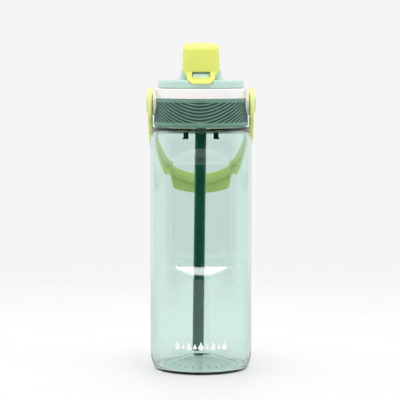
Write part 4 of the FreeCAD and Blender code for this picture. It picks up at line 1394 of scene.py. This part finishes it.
@dataclass
class Cover:
    """The mint cover: a disc with a flared collar, the lip's channel, the catch and the lugs."""

    low: float = 203.3
    radius: float = 30.8
    top: float = 209.2
    spigot_radius: float = 29.6
    spigot_low: float = 201.8
    spigot_bore: float = 27.8
    cavity: float = 24.0
    cavity_top: float = 206.2
    collar_radius: float = 14.5
    collar_foot: float = 15.2
    collar_top: float = 216.0
    collar_bore: float = 12.6
    collar_floor: float = 211.0
    flare: float = 4.0
    mouth: float = 9.2
    hinge_back: float = 18.0
    hinge_height: float = 213.0
    knuckle: float = 3.2
    lug_inner: float = 7.8
    lug_outer: float = 11.6
    pin_radius: float = 1.0
    channel_play: float = 0.6
    notch_back: float = 29.8

    def build_channel(self, lip: "ThumbLip") -> bpy.types.Object:
        """The space for the thumb lip, with a notch below its tip for a fingertip.

        Args:
            lip: The thumb lip.

        Returns:
            A solid to cut out of the cover.
        """
        play, far, under = self.channel_play, self.radius + 3, self.low - 1
        slope = [
            (-lip.inner, CLEAR_ABOVE),
            (-lip.inner, lip.height(lip.inner) - lip.root_thickness - play),
            (-self.notch_back, lip.height(self.notch_back) - lip.tip_thickness - play),
            (-self.notch_back, under),
            (-far, under),
            (-far, CLEAR_ABOVE),
        ]
        profile = plate("channel", [slope], 2 * lip.half_width, 0.1, across_x)
        side = [
            (lip.half_width + play, -lip.inner),
            (lip.half_width - lip.taper + play, -lip.chamfer_back),
            (lip.tip_half_width + play, -lip.reach),
            (lip.tip_half_width + play, -far),
        ]
        outline = both_sides(side)
        half = (CLEAR_ABOVE - under) / 2
        plan = plate("plan", [outline], half, 0.1, lambda point: point + Vector((0, 0, under + half)))
        return work_in(profile, plan, Join.SHARE)

    def build_disc(self) -> bpy.types.Object:
        """The turned disc and collar, with the lip's channel, the catch and the hinge lugs.

        Returns:
            The object.
        """
        corners = [
            (self.spigot_bore, self.spigot_low, 0.3),
            (self.spigot_radius, self.spigot_low, 0.3),
            (self.spigot_radius, self.low, 0.2),
            (self.radius, self.low, 0.5),
            (self.radius, self.top - 0.2, 2.0),
            (self.collar_foot, self.top, self.flare),
            (self.collar_radius, self.collar_top, 0.8),
            (self.collar_bore, self.collar_top, 0.5),
            (self.collar_bore, self.collar_floor, 0.4),
            (self.mouth, self.collar_floor, 0.4),
            (self.mouth, self.cavity_top, 0.4),
            (self.cavity, self.cavity_top, 0.6),
            (self.cavity + 1, self.spigot_low + 2.6, 0.4),
            (self.spigot_bore, self.spigot_low + 2.6, 0.3),
        ]
        disc = lathe("mint_cover", corners, 160)
        lip = ThumbLip()
        disc = work_in(disc, self.build_channel(lip), Join.CUT)
        below = lip.root_thickness + 1.6
        catch = rounded(
            [
                (-lip.catch_back, lip.height(lip.catch_back) - 0.35, 0.5),
                (-lip.catch_back, lip.height(lip.catch_back) - below),
                (-lip.catch_front, lip.height(lip.catch_front) - below),
                (-lip.catch_front, lip.height(lip.catch_front) - 0.35, 0.8),
            ]
        )
        disc = work_in(disc, plate("catch", [catch], lip.catch_half_width, 0.3, across_x), Join.ADD)
        back, high, round_end = self.hinge_back, self.hinge_height, self.knuckle
        lug = rounded(
            [
                (back - round_end, self.top - 0.6),
                (back + round_end, self.top - 0.6),
                (back + round_end, high + round_end, round_end * 0.98),
                (back - round_end, high + round_end, round_end * 0.98),
            ]
        )
        half = (self.lug_outer - self.lug_inner) / 2
        for side in (-1, 1):
            centre = side * (self.lug_outer + self.lug_inner) / 2

            def stand(point: Vector, centre: float = centre) -> Vector:
                """Stand the lug up at its side of the knuckle."""
                return across_x(point) + Vector((centre, 0, 0))

            holed = [lug, circle(back, high, self.pin_radius + 0.02, 24)]
            disc = work_in(disc, plate("lug", holed, half, 0.35, stand), Join.ADD)
        return disc

    def build(self) -> None:
        """Build and settle the cover and its hinge pin."""
        settle(self.build_disc(), Rider.LID, MINT_PP.build(), ["lid_cover"])
        end = self.lug_outer - 0.2
        pin = lathe(
            "cap_pin",
            [(0, -end), (self.pin_radius, -end, 0.25), (self.pin_radius, end, 0.25), (0, end)],
            32,
        )
        lay_along_x(pin, 1, self.hinge_back, self.hinge_height)
        settle(pin, Rider.LID, STEEL.build(), ["cap_hinge_pin"])


# ---------------------------------------------------------------- flip cap


@dataclass
class ThumbLip:
    """The cap's sloping thumb lip and the slot in it that takes the catch."""

    root: float = 214.6
    tip: float = 207.3
    inner: float = 15.05
    start: float = 17.5
    reach: float = 31.5
    half_width: float = 10.4
    tip_half_width: float = 6.0
    taper: float = 0.8
    chamfer_back: float = 27.6
    root_thickness: float = 2.6
    tip_thickness: float = 1.1
    slot_half_width: float = 6.3
    slot_front: float = 24.6
    slot_back: float = 17.9
    slot_opening: float = 14.9
    catch_half_width: float = 5.7
    catch_front: float = 23.9
    catch_back: float = 19.3

    def height(self, ahead: float) -> float:
        """How high the lip's outer face lies at a distance in front of the axis."""
        return self.root - (ahead - self.start) * (self.root - self.tip) / (self.reach - self.start)

    def lay(self, point: Vector) -> Vector:
        """Slope a flat plate down to the lip's tip, thinner towards it."""
        ahead = -point.y
        share = (ahead - self.start) / (self.reach - self.start)
        share = min(1.0, max(0.0, share))
        thickness = self.root_thickness + (self.tip_thickness - self.root_thickness) * share
        return Vector((point.x, point.y, self.height(ahead) - thickness * (0.5 - point.z)))

    def build(self) -> bpy.types.Object:
        """The lip as a plate with its slot.

        Returns:
            The object.
        """
        inner = self.start - 2.0
        side = [
            (self.half_width, -inner),
            (self.half_width, -(self.start + 0.4), 1.5),
            (self.half_width - self.taper, -self.chamfer_back, 0.9),
            (self.tip_half_width, -self.reach, 0.8),
        ]
        outline = rounded(both_sides(side))
        slot_side = [
            (self.slot_half_width, -self.slot_back, 0.6),
            (self.slot_half_width, -self.slot_front, 1.5),
        ]
        slot = rounded(both_sides(slot_side))
        return plate("thumb_lip", [outline, slot], 0.5, 0.16, self.lay)

    def build_slot(self) -> bpy.types.Object:
        """The slot's back end, which opens the cap's front wall.

        Returns:
            A solid to cut out of the cap.
        """
        wide, half = self.slot_half_width, 5.0
        back, front = -self.slot_opening, 2 - self.slot_front
        opening = [(wide, back), (-wide, back), (-wide, front), (wide, front)]
        top = self.root + 0.1
        return plate("slot", [opening], half, 0.1, lambda point: point + Vector((0, 0, top - half)))


@dataclass
class FlipCap:
    """The flip cap with its liner and plug."""

    half_width: float = 13.6
    front: float = 17.5
    back: float = 15.5
    corner: float = 5.5
    skirt: float = 212.0
    rim: float = 216.3
    draft: float = 0.05
    wall: float = 2.0
    ceiling: float = 229.6
    brow: float = 230.6
    ridge: float = 235.8
    crown_radius: float = 60.0
    edge: float = 1.2
    head: float = 234.0
    wall_rows: int = 24
    edge_rows: int = 7
    crown_rows: int = 16
    jaw: float = 212.3
    knuckle_half_width: float = 7.4
    lip: ThumbLip = field(default_factory=ThumbLip)

    def section(self, height: float, inset: float, count: int = 15) -> list[Point]:
        """The cap's rounded-square section, anticlockwise from the front right corner.

        Args:
            height: Where the section is taken.
            inset: How far inside the wall's outer face it lies.
            count: How many points make each corner and each side.

        Returns:
            The section's points.
        """
        lean = (height - self.skirt) * self.draft + inset
        wide, ahead, behind = self.half_width - lean, self.front - lean, self.back - lean
        radius = max(0.4, self.corner - inset)
        centres = [(wide - radius, radius - ahead, -90), (wide - radius, behind - radius, 0)]
        centres += [(radius - wide, behind - radius, 90), (radius - wide, radius - ahead, 180)]
        ends: list[list[Point]] = []
        for across, along, start in centres:
            turns = [math.radians(start + 90 * step / count) for step in range(count + 1)]
            ends.append(
                [(across + radius * math.cos(turn), along + radius * math.sin(turn)) for turn in turns]
            )
        points: list[Point] = []
        for arc, after in zip(ends, [*ends[1:], ends[0]]):
            points += arc
            last, first = Vector(arc[-1]), Vector(after[0])
            points += [tuple(last.lerp(first, step / count)) for step in range(1, count)]
        return points

    def top(self, across: float, along: float) -> float:
        """How high the crowned top is: a sloping brow in front and a low arch from side to side."""
        slope = (self.ridge - 0.2 - self.brow) / (self.front + 3 - 3.5)
        brow = self.brow + (along + self.front + 3) * slope
        flat = self.ridge - max(0.0, along - 2) ** 2 / 100
        arch = self.ridge + 0.1 - across * across / (2 * self.crown_radius)
        return soft_least(soft_least(brow, flat, 1.6), arch, 1.2)

    def bottom(self, across: float, along: float) -> float:
        """How low the wall reaches: down to the lip in front and to the rim elsewhere."""
        if along > -9:
            return self.rim
        beside = smooth_step(abs(across), self.lip.half_width, self.half_width - 0.2)
        return self.jaw + (self.rim - self.jaw) * beside

    def rings(self, inset: float, closing: Callable[[float, float], float], edge: float) -> list:
        """Rings of points up one skin of the hood and in over its top.

        Args:
            inset: How far inside the outer face the skin lies.
            closing: The height of the skin's top.
            edge: The rounding between the wall and the top.

        Returns:
            The rings, each a list of (x, y, z).
        """
        rows = []
        for step in range(self.wall_rows + 1):
            ring = []
            for foot, head in zip(self.section(self.rim, inset), self.section(self.head, inset)):
                low = self.bottom(*foot)
                high = closing(*head) - edge
                height = low + (high - low) * step / self.wall_rows
                share = (height - self.rim) / (self.head - self.rim)
                place = Vector(foot).lerp(Vector(head), share)
                ring.append((place.x, place.y, height))
            rows.append(ring)
        for step in range(1, self.edge_rows + 1):
            turn = math.radians(90 * step / self.edge_rows)
            in_by = edge * (1 - math.cos(turn))
            ring = []
            for across, along in self.section(self.head, inset + in_by):
                ring.append((across, along, closing(across, along) - edge * (1 - math.sin(turn))))
            rows.append(ring)
        shoulder = self.section(self.head, inset + edge)
        centre = Vector((0.0, (self.back - self.front) / 2))
        for step in range(1, self.crown_rows):
            ring = []
            for point in shoulder:
                place = Vector(point).lerp(centre, step / self.crown_rows)
                ring.append((place.x, place.y, closing(place.x, place.y)))
            rows.append(ring)
        rows.append([(centre.x, centre.y, closing(centre.x, centre.y))])
        return rows

    def build_hood(self) -> bpy.types.Object:
        """The hollow hood as one closed shell.

        Returns:
            The object.
        """
        outer = self.rings(0.0, self.top, self.edge)
        inner = self.rings(self.wall, lambda across, along: self.ceiling, 1.0)
        work = bmesh.new()
        skins = [[[work.verts.new(place) for place in ring] for ring in skin] for skin in (outer, inner)]
        pairs = [(low, high) for skin in skins for low, high in zip(skin, skin[1:])]
        pairs.append((skins[0][0], skins[1][0]))
        for low, high in pairs:
            for step in range(len(low)):
                ahead = (step + 1) % len(low)
                loop = [low[step], low[ahead], high[ahead % len(high)], high[step % len(high)]]
                work.faces.new(list(dict.fromkeys(loop)))
        return from_bmesh("lime_cap", work)

    def build_knuckle(self, cover: Cover) -> bpy.types.Object:
        """The hinge knuckle and the web that carries it.

        Args:
            cover: The cover that holds the hinge pin.

        Returns:
            The object.
        """
        back, high, size = cover.hinge_back, cover.hinge_height, cover.knuckle
        arc = [math.radians(turn) for turn in range(-195, 60, 15)]
        outline = [(back + size * math.cos(turn), high + size * math.sin(turn)) for turn in arc]
        outline += [(self.back - 0.6, self.rim + 4.2), (self.back - 1.7, self.rim + 4.2)]
        outline += [(self.back - 1.7, self.rim + 0.1)]
        holed = [outline, circle(back, high, cover.pin_radius + 0.06, 24)]
        return plate("knuckle", holed, self.knuckle_half_width, 0.3, across_x)

    def build(self, cover: Cover) -> None:
        """Build and settle the cap, its liner and its plug.

        Args:
            cover: The cover that holds the hinge pin.
        """
        cap = work_in(self.build_hood(), self.lip.build(), Join.ADD)
        cap = work_in(cap, self.lip.build_slot(), Join.CUT)
        cap = work_in(cap, self.build_knuckle(cover), Join.ADD)
        settle(cap, Rider.CAP, LIME_CAP.build(), ["flip_cap"])
        ceiling, spout = self.ceiling, Mouthpiece().top
        liner = lathe(
            "liner",
            [
                (0, ceiling - 1.6),
                (8.2, ceiling - 1.6, 0.2),
                (8.2, spout - 1.5, 0.3),
                (9.4, spout - 1.5, 0.3),
                (9.4, ceiling - 1.6, 0.3),
                (10.6, ceiling - 1.6, 0.4),
                (10.6, ceiling - 0.05, 0.3),
                (0, ceiling - 0.05),
            ],
            72,
        )
        settle(liner, Rider.CAP, LINER_PP.build(), ["cap_liner"])
        plug = lathe(
            "plug",
            [
                (0, spout + 0.25),
                (7.2, spout + 0.35, 0.8),
                (8.0, spout + 0.8, 0.5),
                (8.0, ceiling - 1.65, 0.2),
                (0, ceiling - 1.65),
            ],
            64,
        )
        settle(plug, Rider.CAP, MILKY_SILICONE.build(), ["cap_plug"])


# ---------------------------------------------------------------- drinking parts


@dataclass
class Mouthpiece:
    """The silicone spout and the snap ring that holds its flange."""

    top: float = 226.0
    bore: float = 2.8
    lip: float = 6.8
    waist: float = 6.2
    foot: float = 7.8
    flange_radius: float = 12.2
    flange_low: float = 211.2
    flange_high: float = 213.0
    stem_radius: float = 8.9
    stem_low: float = 203.6
    socket: float = 5.1
    socket_top: float = 209.7
    ring_outer: float = 12.5
    ring_top: float = 215.5

    def build(self) -> None:
        """Build and settle the spout and its ring."""
        spout = lathe(
            "soft_spout",
            [
                (self.bore, self.top, 0.8),
                (self.bore, self.socket_top, 0.4),
                (self.socket, self.socket_top, 0.3),
                (self.socket, self.stem_low, 0.3),
                (self.stem_radius, self.stem_low, 0.5),
                (self.stem_radius, self.flange_low, 0.3),
                (self.flange_radius, self.flange_low, 0.4),
                (self.flange_radius, self.flange_high, 0.4),
                (self.foot, self.flange_high, 0.5),
                (self.waist, self.top - 6, 8.0),
                (self.waist, self.top - 3, 1.2),
                (self.lip, self.top - 2, 0.8),
                (self.lip, self.top - 0.8, 0.8),
                (self.waist, self.top, 0.8),
            ],
            96,
        )
        settle(spout, Rider.LID, MILKY_SILICONE.build(), ["mouthpiece"])
        ring = lathe(
            "snap_ring",
            [
                (self.foot + 0.4, self.flange_high + 0.1, 0.3),
                (self.ring_outer, self.flange_high + 0.1, 0.2),
                (self.ring_outer, self.ring_top, 0.4),
                (self.foot + 1.2, self.ring_top, 0.5),
            ],
            96,
        )
        settle(ring, Rider.LID, MINT_PP.build(), ["mouthpiece_ring"])


@dataclass
class StrawSet:
    """The dark carrier with its pinch clips, the air valve, the connector and the straw."""

    carrier_radius: float = 13.9
    flange: float = 17.0
    low: float = 197.8
    top: float = 202.6
    spigot: float = 5.0
    spigot_top: float = 209.4
    nozzle: float = 4.0
    nozzle_low: float = 184.0
    passage: float = 2.8
    groove: float = 12.7
    groove_low: float = 198.7
    groove_high: float = 200.1
    flange_low: float = 200.9
    clip_inner: float = 9.0
    clip_outer: float = 12.6
    clip_barb: float = 13.4
    clip_low: float = 167.0
    clip_half_width: float = 3.2
    valve_back: float = 9.4
    straw_radius: float = 4.1
    straw_bore: float = 3.2
    straw_top: float = 183.8
    straw_low: float = 12.8
    straw_lean: float = 2.15

    def build_carrier(self) -> bpy.types.Object:
        """The carrier with its two clips and the valve's hole.

        Returns:
            The object.
        """
        carrier = lathe(
            "core_carrier",
            [
                (self.passage, self.nozzle_low, 0.2),
                (self.nozzle, self.nozzle_low, 0.3),
                (self.nozzle, self.low, 0.6),
                (self.carrier_radius, self.low, 0.5),
                (self.carrier_radius, self.groove_low, 0.1),
                (self.groove, self.groove_low, 0.1),
                (self.groove, self.groove_high, 0.1),
                (self.carrier_radius, self.groove_high, 0.1),
                (self.carrier_radius, self.flange_low, 0.1),
                (self.flange, self.flange_low, 0.4),
                (self.flange, self.top, 0.4),
                (self.spigot, self.top, 0.6),
                (self.spigot, self.spigot_top, 0.4),
                (self.passage, self.spigot_top, 0.2),
            ],
            96,
        )
        for side in (-1, 1):
            clip = rounded(
                [
                    (side * self.clip_inner, self.low + 0.3),
                    (side * self.clip_inner, self.clip_low, 0.5),
                    (side * self.clip_barb, self.clip_low, 0.4),
                    (side * self.clip_barb, self.clip_low + 0.7, 0.3),
                    (side * self.clip_outer, self.clip_low + 1.9, 0.4),
                    (side * self.clip_outer, self.low + 0.3),
                ]
            )
            stand = plate(
                "clip",
                [clip],
                self.clip_half_width,
                0.35,
                lambda point: Vector((point.x, -point.z, point.y)),
            )
            carrier = work_in(carrier, stand, Join.ADD)
        return carrier

    def build(self) -> None:
        """Build and settle the carrier, the valve, the connector and the straw."""
        settle(self.build_carrier(), Rider.LID, CARRIER_PP.build(), ["straw_carrier"])
        milky = MILKY_SILICONE.build()
        valve = lathe(
            "air_valve",
            [
                (0, self.low - 2.2),
                (1.2, self.low - 2.2, 0.5),
                (2.1, self.low - 0.1, 0.3),
                (1.4, self.low - 0.1, 0.1),
                (1.4, self.top + 0.1, 0.1),
                (3.0, self.top + 0.1, 0.2),
                (2.4, self.top + 0.8, 0.4),
                (0, self.top + 0.9),
            ],
            40,
        )
        valve.data.transform(Matrix.Translation((0, self.valve_back * MM, 0)))
        settle(valve, Rider.LID, milky, ["vent_valve"])
        connector = lathe(
            "straw_sleeve",
            [
                (self.straw_radius + 0.15, self.nozzle_low - 5.5, 0.3),
                (self.straw_radius + 1.3, self.nozzle_low - 5.5, 0.4),
                (self.straw_radius + 1.3, self.nozzle_low + 7, 0.4),
                (self.nozzle + 0.05, self.nozzle_low + 7, 0.2),
                (self.nozzle + 0.05, self.nozzle_low - 0.1, 0.05),
                (self.straw_radius + 0.15, self.nozzle_low - 0.1, 0.05),
            ],
            64,
        )
        settle(connector, Rider.LID, milky, ["straw_connector"])
        length = self.straw_top - self.straw_low
        tube = lathe(
            "drinking_straw",
            [
                (self.straw_bore, -length, 0.3),
                (self.straw_radius, -length, 0.35),
                (self.straw_radius, 0, 0.35),
                (self.straw_bore, 0, 0.3),
            ],
            64,
            3.0,
        )
        lean = Matrix.Rotation(math.atan(self.straw_lean / length), 4, "Y")
        tube.data.transform(Matrix.Translation((0, 0, self.straw_top * MM)) @ lean)
        settle(tube, Rider.LID, STRAW_PP.build(), ["straw"])


# ---------------------------------------------------------------- carry handle


@dataclass
class Handle:
    """The bail: two bowed arms with round eyes and an angular grip between them.

    Across is measured from the bottle's axis, and reach from the pivots along the bail.
    """

    pivot_height: float = 191.5
    tilt: float = 37.5
    eye: float = 11.4
    eye_chord: float = 10.43
    hole: float = 3.68
    arm_half_width: float = 5.5
    grip_half_width: float = 6.5
    round_edge: float = 1.1
    outer: float = 38.2
    inner: float = 35.0
    outer_start: Point = (38.2, 22.0)
    outer_elbow: Point = (27.6, 64.2)
    outer_corner: Point = (20.4, 75.6)
    outer_bow: float = 87.0
    outer_grip: float = 46.0
    inner_start: Point = (35.0, 24.0)
    inner_elbow: Point = (22.9, 61.2)
    inner_bow: float = 61.0
    inner_grip: float = 31.5

    @staticmethod
    def arc(start: Point, end: Point, radius: float, count: int) -> list[Vector]:
        """Points along an arc that bows away from the bail's middle.

        Args:
            start: Its first point.
            end: Its last point.
            radius: Its radius.
            count: How many steps it has.

        Returns:
            The points, without the first.
        """
        first, last = Vector(start), Vector(end)
        chord = last - first
        rise = math.sqrt(radius**2 - (chord.length / 2) ** 2)
        side = Vector((-chord.y, chord.x)).normalized()
        centre = (first + last) / 2 + side * rise
        from_centre = first - centre
        turn = 2 * math.asin(chord.length / 2 / radius)
        points = []
        for step in range(1, count + 1):
            swing = Matrix.Rotation(turn * step / count, 2)
            points.append(centre + swing @ from_centre)
        return points

    @staticmethod
    def evenly(points: Sequence[Vector], places: Sequence[float]) -> list[Vector]:
        """Points at given shares of a line's length.

        Args:
            points: The line.
            places: Shares from 0 to 1.

        Returns:
            One point for each share.
        """
        lengths = [0.0]
        for start, end in zip(points, points[1:]):
            lengths.append(lengths[-1] + (end - start).length)
        result = []
        for place in places:
            goal = place * lengths[-1]
            index = next((k for k in range(1, len(lengths)) if lengths[k] >= goal - 1e-9), len(lengths) - 1)
            span = lengths[index] - lengths[index - 1]
            share = (goal - lengths[index - 1]) / span if span else 0
            result.append(points[index - 1].lerp(points[index], share))
        return result

    def half_width(self, reach: float) -> float:
        """Half of the bail's width at a reach from the pivots."""
        if reach < 4.6:
            return math.sqrt(max(0.0, self.eye**2 - reach**2))
        if reach < 19:
            share = (reach - 4.6) / (19 - 4.6)
            ease = 1 - (1 - share) ** 2
            return self.eye_chord + (self.arm_half_width - self.eye_chord) * ease
        grow = smooth_step(reach, 36, 58)
        return self.arm_half_width + (self.grip_half_width - self.arm_half_width) * grow

    def half_grip(self, corner: Point, radius: float) -> list[Vector]:
        """The right half of the grip's arc, which starts at a corner and ends at its mirror."""
        across, reach = corner
        return self.arc(corner, (-across, reach), radius, 40)[:20]

    def stations(self) -> list[tuple[Vector, Vector, float]]:
        """Outer point, inner point and half width, from the right eye round to the left one."""
        levels = [self.eye * math.cos(math.radians(turn)) for turn in range(176, 110, -8)]
        eye_top = [
            (Vector((self.outer, level)), Vector((self.inner, level)), self.half_width(level))
            for level in levels
        ]
        start = eye_top[-1][0].y
        outer = [Vector((self.outer, start)), Vector(self.outer_start)]
        outer += self.arc(self.outer_start, self.outer_elbow, self.outer_bow, 24)
        outer += [Vector(self.outer_corner)]
        outer += self.half_grip(self.outer_corner, self.outer_grip)
        inner = [Vector((self.inner, start)), Vector(self.inner_start)]
        inner += self.arc(self.inner_start, self.inner_elbow, self.inner_bow, 24)
        inner += self.half_grip(self.inner_elbow, self.inner_grip)
        places = [step / 90 for step in range(1, 91)]
        down = [
            (out, into, self.half_width((out.y + into.y) / 2))
            for out, into in zip(self.evenly(outer, places), self.evenly(inner, places))
        ]
        half = eye_top + down
        mirror = [
            (Vector((-out.x, out.y)), Vector((-into.x, into.y)), wide) for out, into, wide in half[-2::-1]
        ]
        return half + mirror

    def build(self) -> None:
        """Build and settle the handle."""
        work = bmesh.new()
        rings = []
        for outer, inner, wide in self.stations():
            centre = (outer + inner) / 2
            out = (outer - inner).normalized()
            thick = (outer - inner).length / 2
            edge = min(self.round_edge, 0.45 * thick * 2, 0.9 * wide)
            loop = rounded(
                [(thick, -wide, edge), (thick, wide, edge), (-thick, wide, edge), (-thick, -wide, edge)]
            )
            ring = []
            for proud, depth in loop:
                place = centre + out * proud
                ring.append(work.verts.new((place.x, depth, -place.y)))
            rings.append(ring)
        for near, far in zip(rings, rings[1:]):
            for step in range(len(near)):
                ahead = (step + 1) % len(near)
                work.faces.new([near[step], near[ahead], far[ahead], far[step]])
        work.faces.new(rings[0])
        work.faces.new(rings[-1])
        handle = from_bmesh("lime_handle", work)
        for side in (-1, 1):
            drill = lathe("drill", [(0, 30), (self.hole, 30), (self.hole, 45), (0, 45)], 48)
            lay_along_x(drill, side, 0, 0)
            handle = work_in(handle, drill, Join.CUT)
        swing = Matrix.Rotation(math.radians(self.tilt), 4, "X")
        handle.data.transform(Matrix.Translation((0, 0, self.pivot_height * MM)) @ swing)
        settle(handle, Rider.HANDLE, LIME_BAIL.build(), ["carry_handle"])


# ---------------------------------------------------------------- studio


@dataclass
class Studio:
    """A pale table under a large softbox, and a camera in front; sizes in metres."""

    camera: tuple[float, float, float] = (-0.0007, -1.273, 0.221)
    target: tuple[float, float, float] = (-0.0007, 0.0, 0.1223)
    view_width: float = 0.2891
    table_front: float = -0.60
    table_back: float = 4.0
    table_half_width: float = 3.0
    softbox_place: tuple[float, float, float] = (0.0, -0.14, 1.25)
    softbox_size: float = 0.4
    softbox_watts: float = 3.4
    light_bounces: int = 24
    backdrop: str = "#F5F5F5"
    fill_light: float = 0.12
    front_dark: str = "#1C2020"

    def build_camera(self) -> None:
        """Aim the camera and make it the scene's own."""
        data = bpy.data.cameras.new("studio camera")
        away = Vector(self.target) - Vector(self.camera)
        data.sensor_width = 36.0
        data.lens = 36.0 * away.length / self.view_width
        data.clip_end = 20.0
        item = bpy.data.objects.new("studio camera", data)
        item.location = self.camera
        item.rotation_euler = away.to_track_quat("-Z", "Y").to_euler()
        bpy.context.scene.collection.objects.link(item)
        bpy.context.scene.camera = item

    def build_table(self) -> None:
        """Lay the pale table, whose front edge the bottle reflects."""
        wide, front, back = self.table_half_width, self.table_front, self.table_back
        mesh = bpy.data.meshes.new("table")
        corners = [(-wide, front, 0), (wide, front, 0), (wide, back, 0), (-wide, back, 0)]
        mesh.from_pydata(corners, [], [(0, 1, 2, 3)])
        table = bpy.data.objects.new("table", mesh)
        bpy.context.scene.collection.objects.link(table)
        mesh.materials.append(PaleTable().build())

    def build_lights(self) -> None:
        """Hang the softbox and light the room, which is darker in front of the table."""
        lamp = bpy.data.lights.new("softbox", "AREA")
        lamp.shape = "SQUARE"
        lamp.size = self.softbox_size
        lamp.energy = self.softbox_watts
        item = bpy.data.objects.new("softbox", lamp)
        item.location = self.softbox_place
        bpy.context.scene.collection.objects.link(item)
        world = bpy.data.worlds.new("pale room")
        bpy.context.scene.world = world
        world.use_nodes = True
        tree = world.node_tree
        tree.nodes.clear()
        path = add_node(tree, "ShaderNodeLightPath").outputs
        mirrored = add_node(
            tree, "ShaderNodeMath", {"operation": "MINIMUM"}, {0: path["Glossy Depth"], 1: 1.0}
        )
        place = add_node(tree, "ShaderNodeTexCoord").outputs["Generated"]
        ahead = add_node(tree, "ShaderNodeSeparateXYZ", inputs={0: place}).outputs[1]
        front = add_node(
            tree,
            "ShaderNodeMapRange",
            inputs={"Value": ahead, "From Min": 0.1, "From Max": -0.35},
        )
        dark = add_node(
            tree,
            "ShaderNodeMath",
            {"operation": "MULTIPLY"},
            {0: mirrored.outputs[0], 1: front.outputs[0]},
        )
        colour = two_tone(tree, dark.outputs[0], self.backdrop, self.front_dark)
        strength = add_node(
            tree,
            "ShaderNodeMath",
            {"operation": "MULTIPLY_ADD"},
            {0: path["Is Diffuse Ray"], 1: self.fill_light, 2: 1.0},
        )
        room = add_node(
            tree,
            "ShaderNodeBackground",
            inputs={"Color": colour, "Strength": strength.outputs[0]},
        )
        add_node(tree, "ShaderNodeOutputWorld", inputs={"Surface": room.outputs[0]})

    def build(self) -> None:
        """Build the whole studio."""
        self.build_camera()
        self.build_table()
        self.build_lights()
        scene = bpy.context.scene
        scene.view_settings.view_transform = "Standard"
        scene.cycles.max_bounces = self.light_bounces
        scene.cycles.transmission_bounces = self.light_bounces


# ---------------------------------------------------------------- main


def main() -> None:
    """Build the studio and every sub-assembly."""
    logging.basicConfig(level=logging.INFO, format="%(message)s")
    Studio().build()
    Bottle().build()
    LidShell().build()
    Sleeve().build()
    cover = Cover()
    cover.build()
    FlipCap().build(cover)
    Mouthpiece().build()
    StrawSet().build()
    Handle().build()


if __name__ == "__main__":
    main()
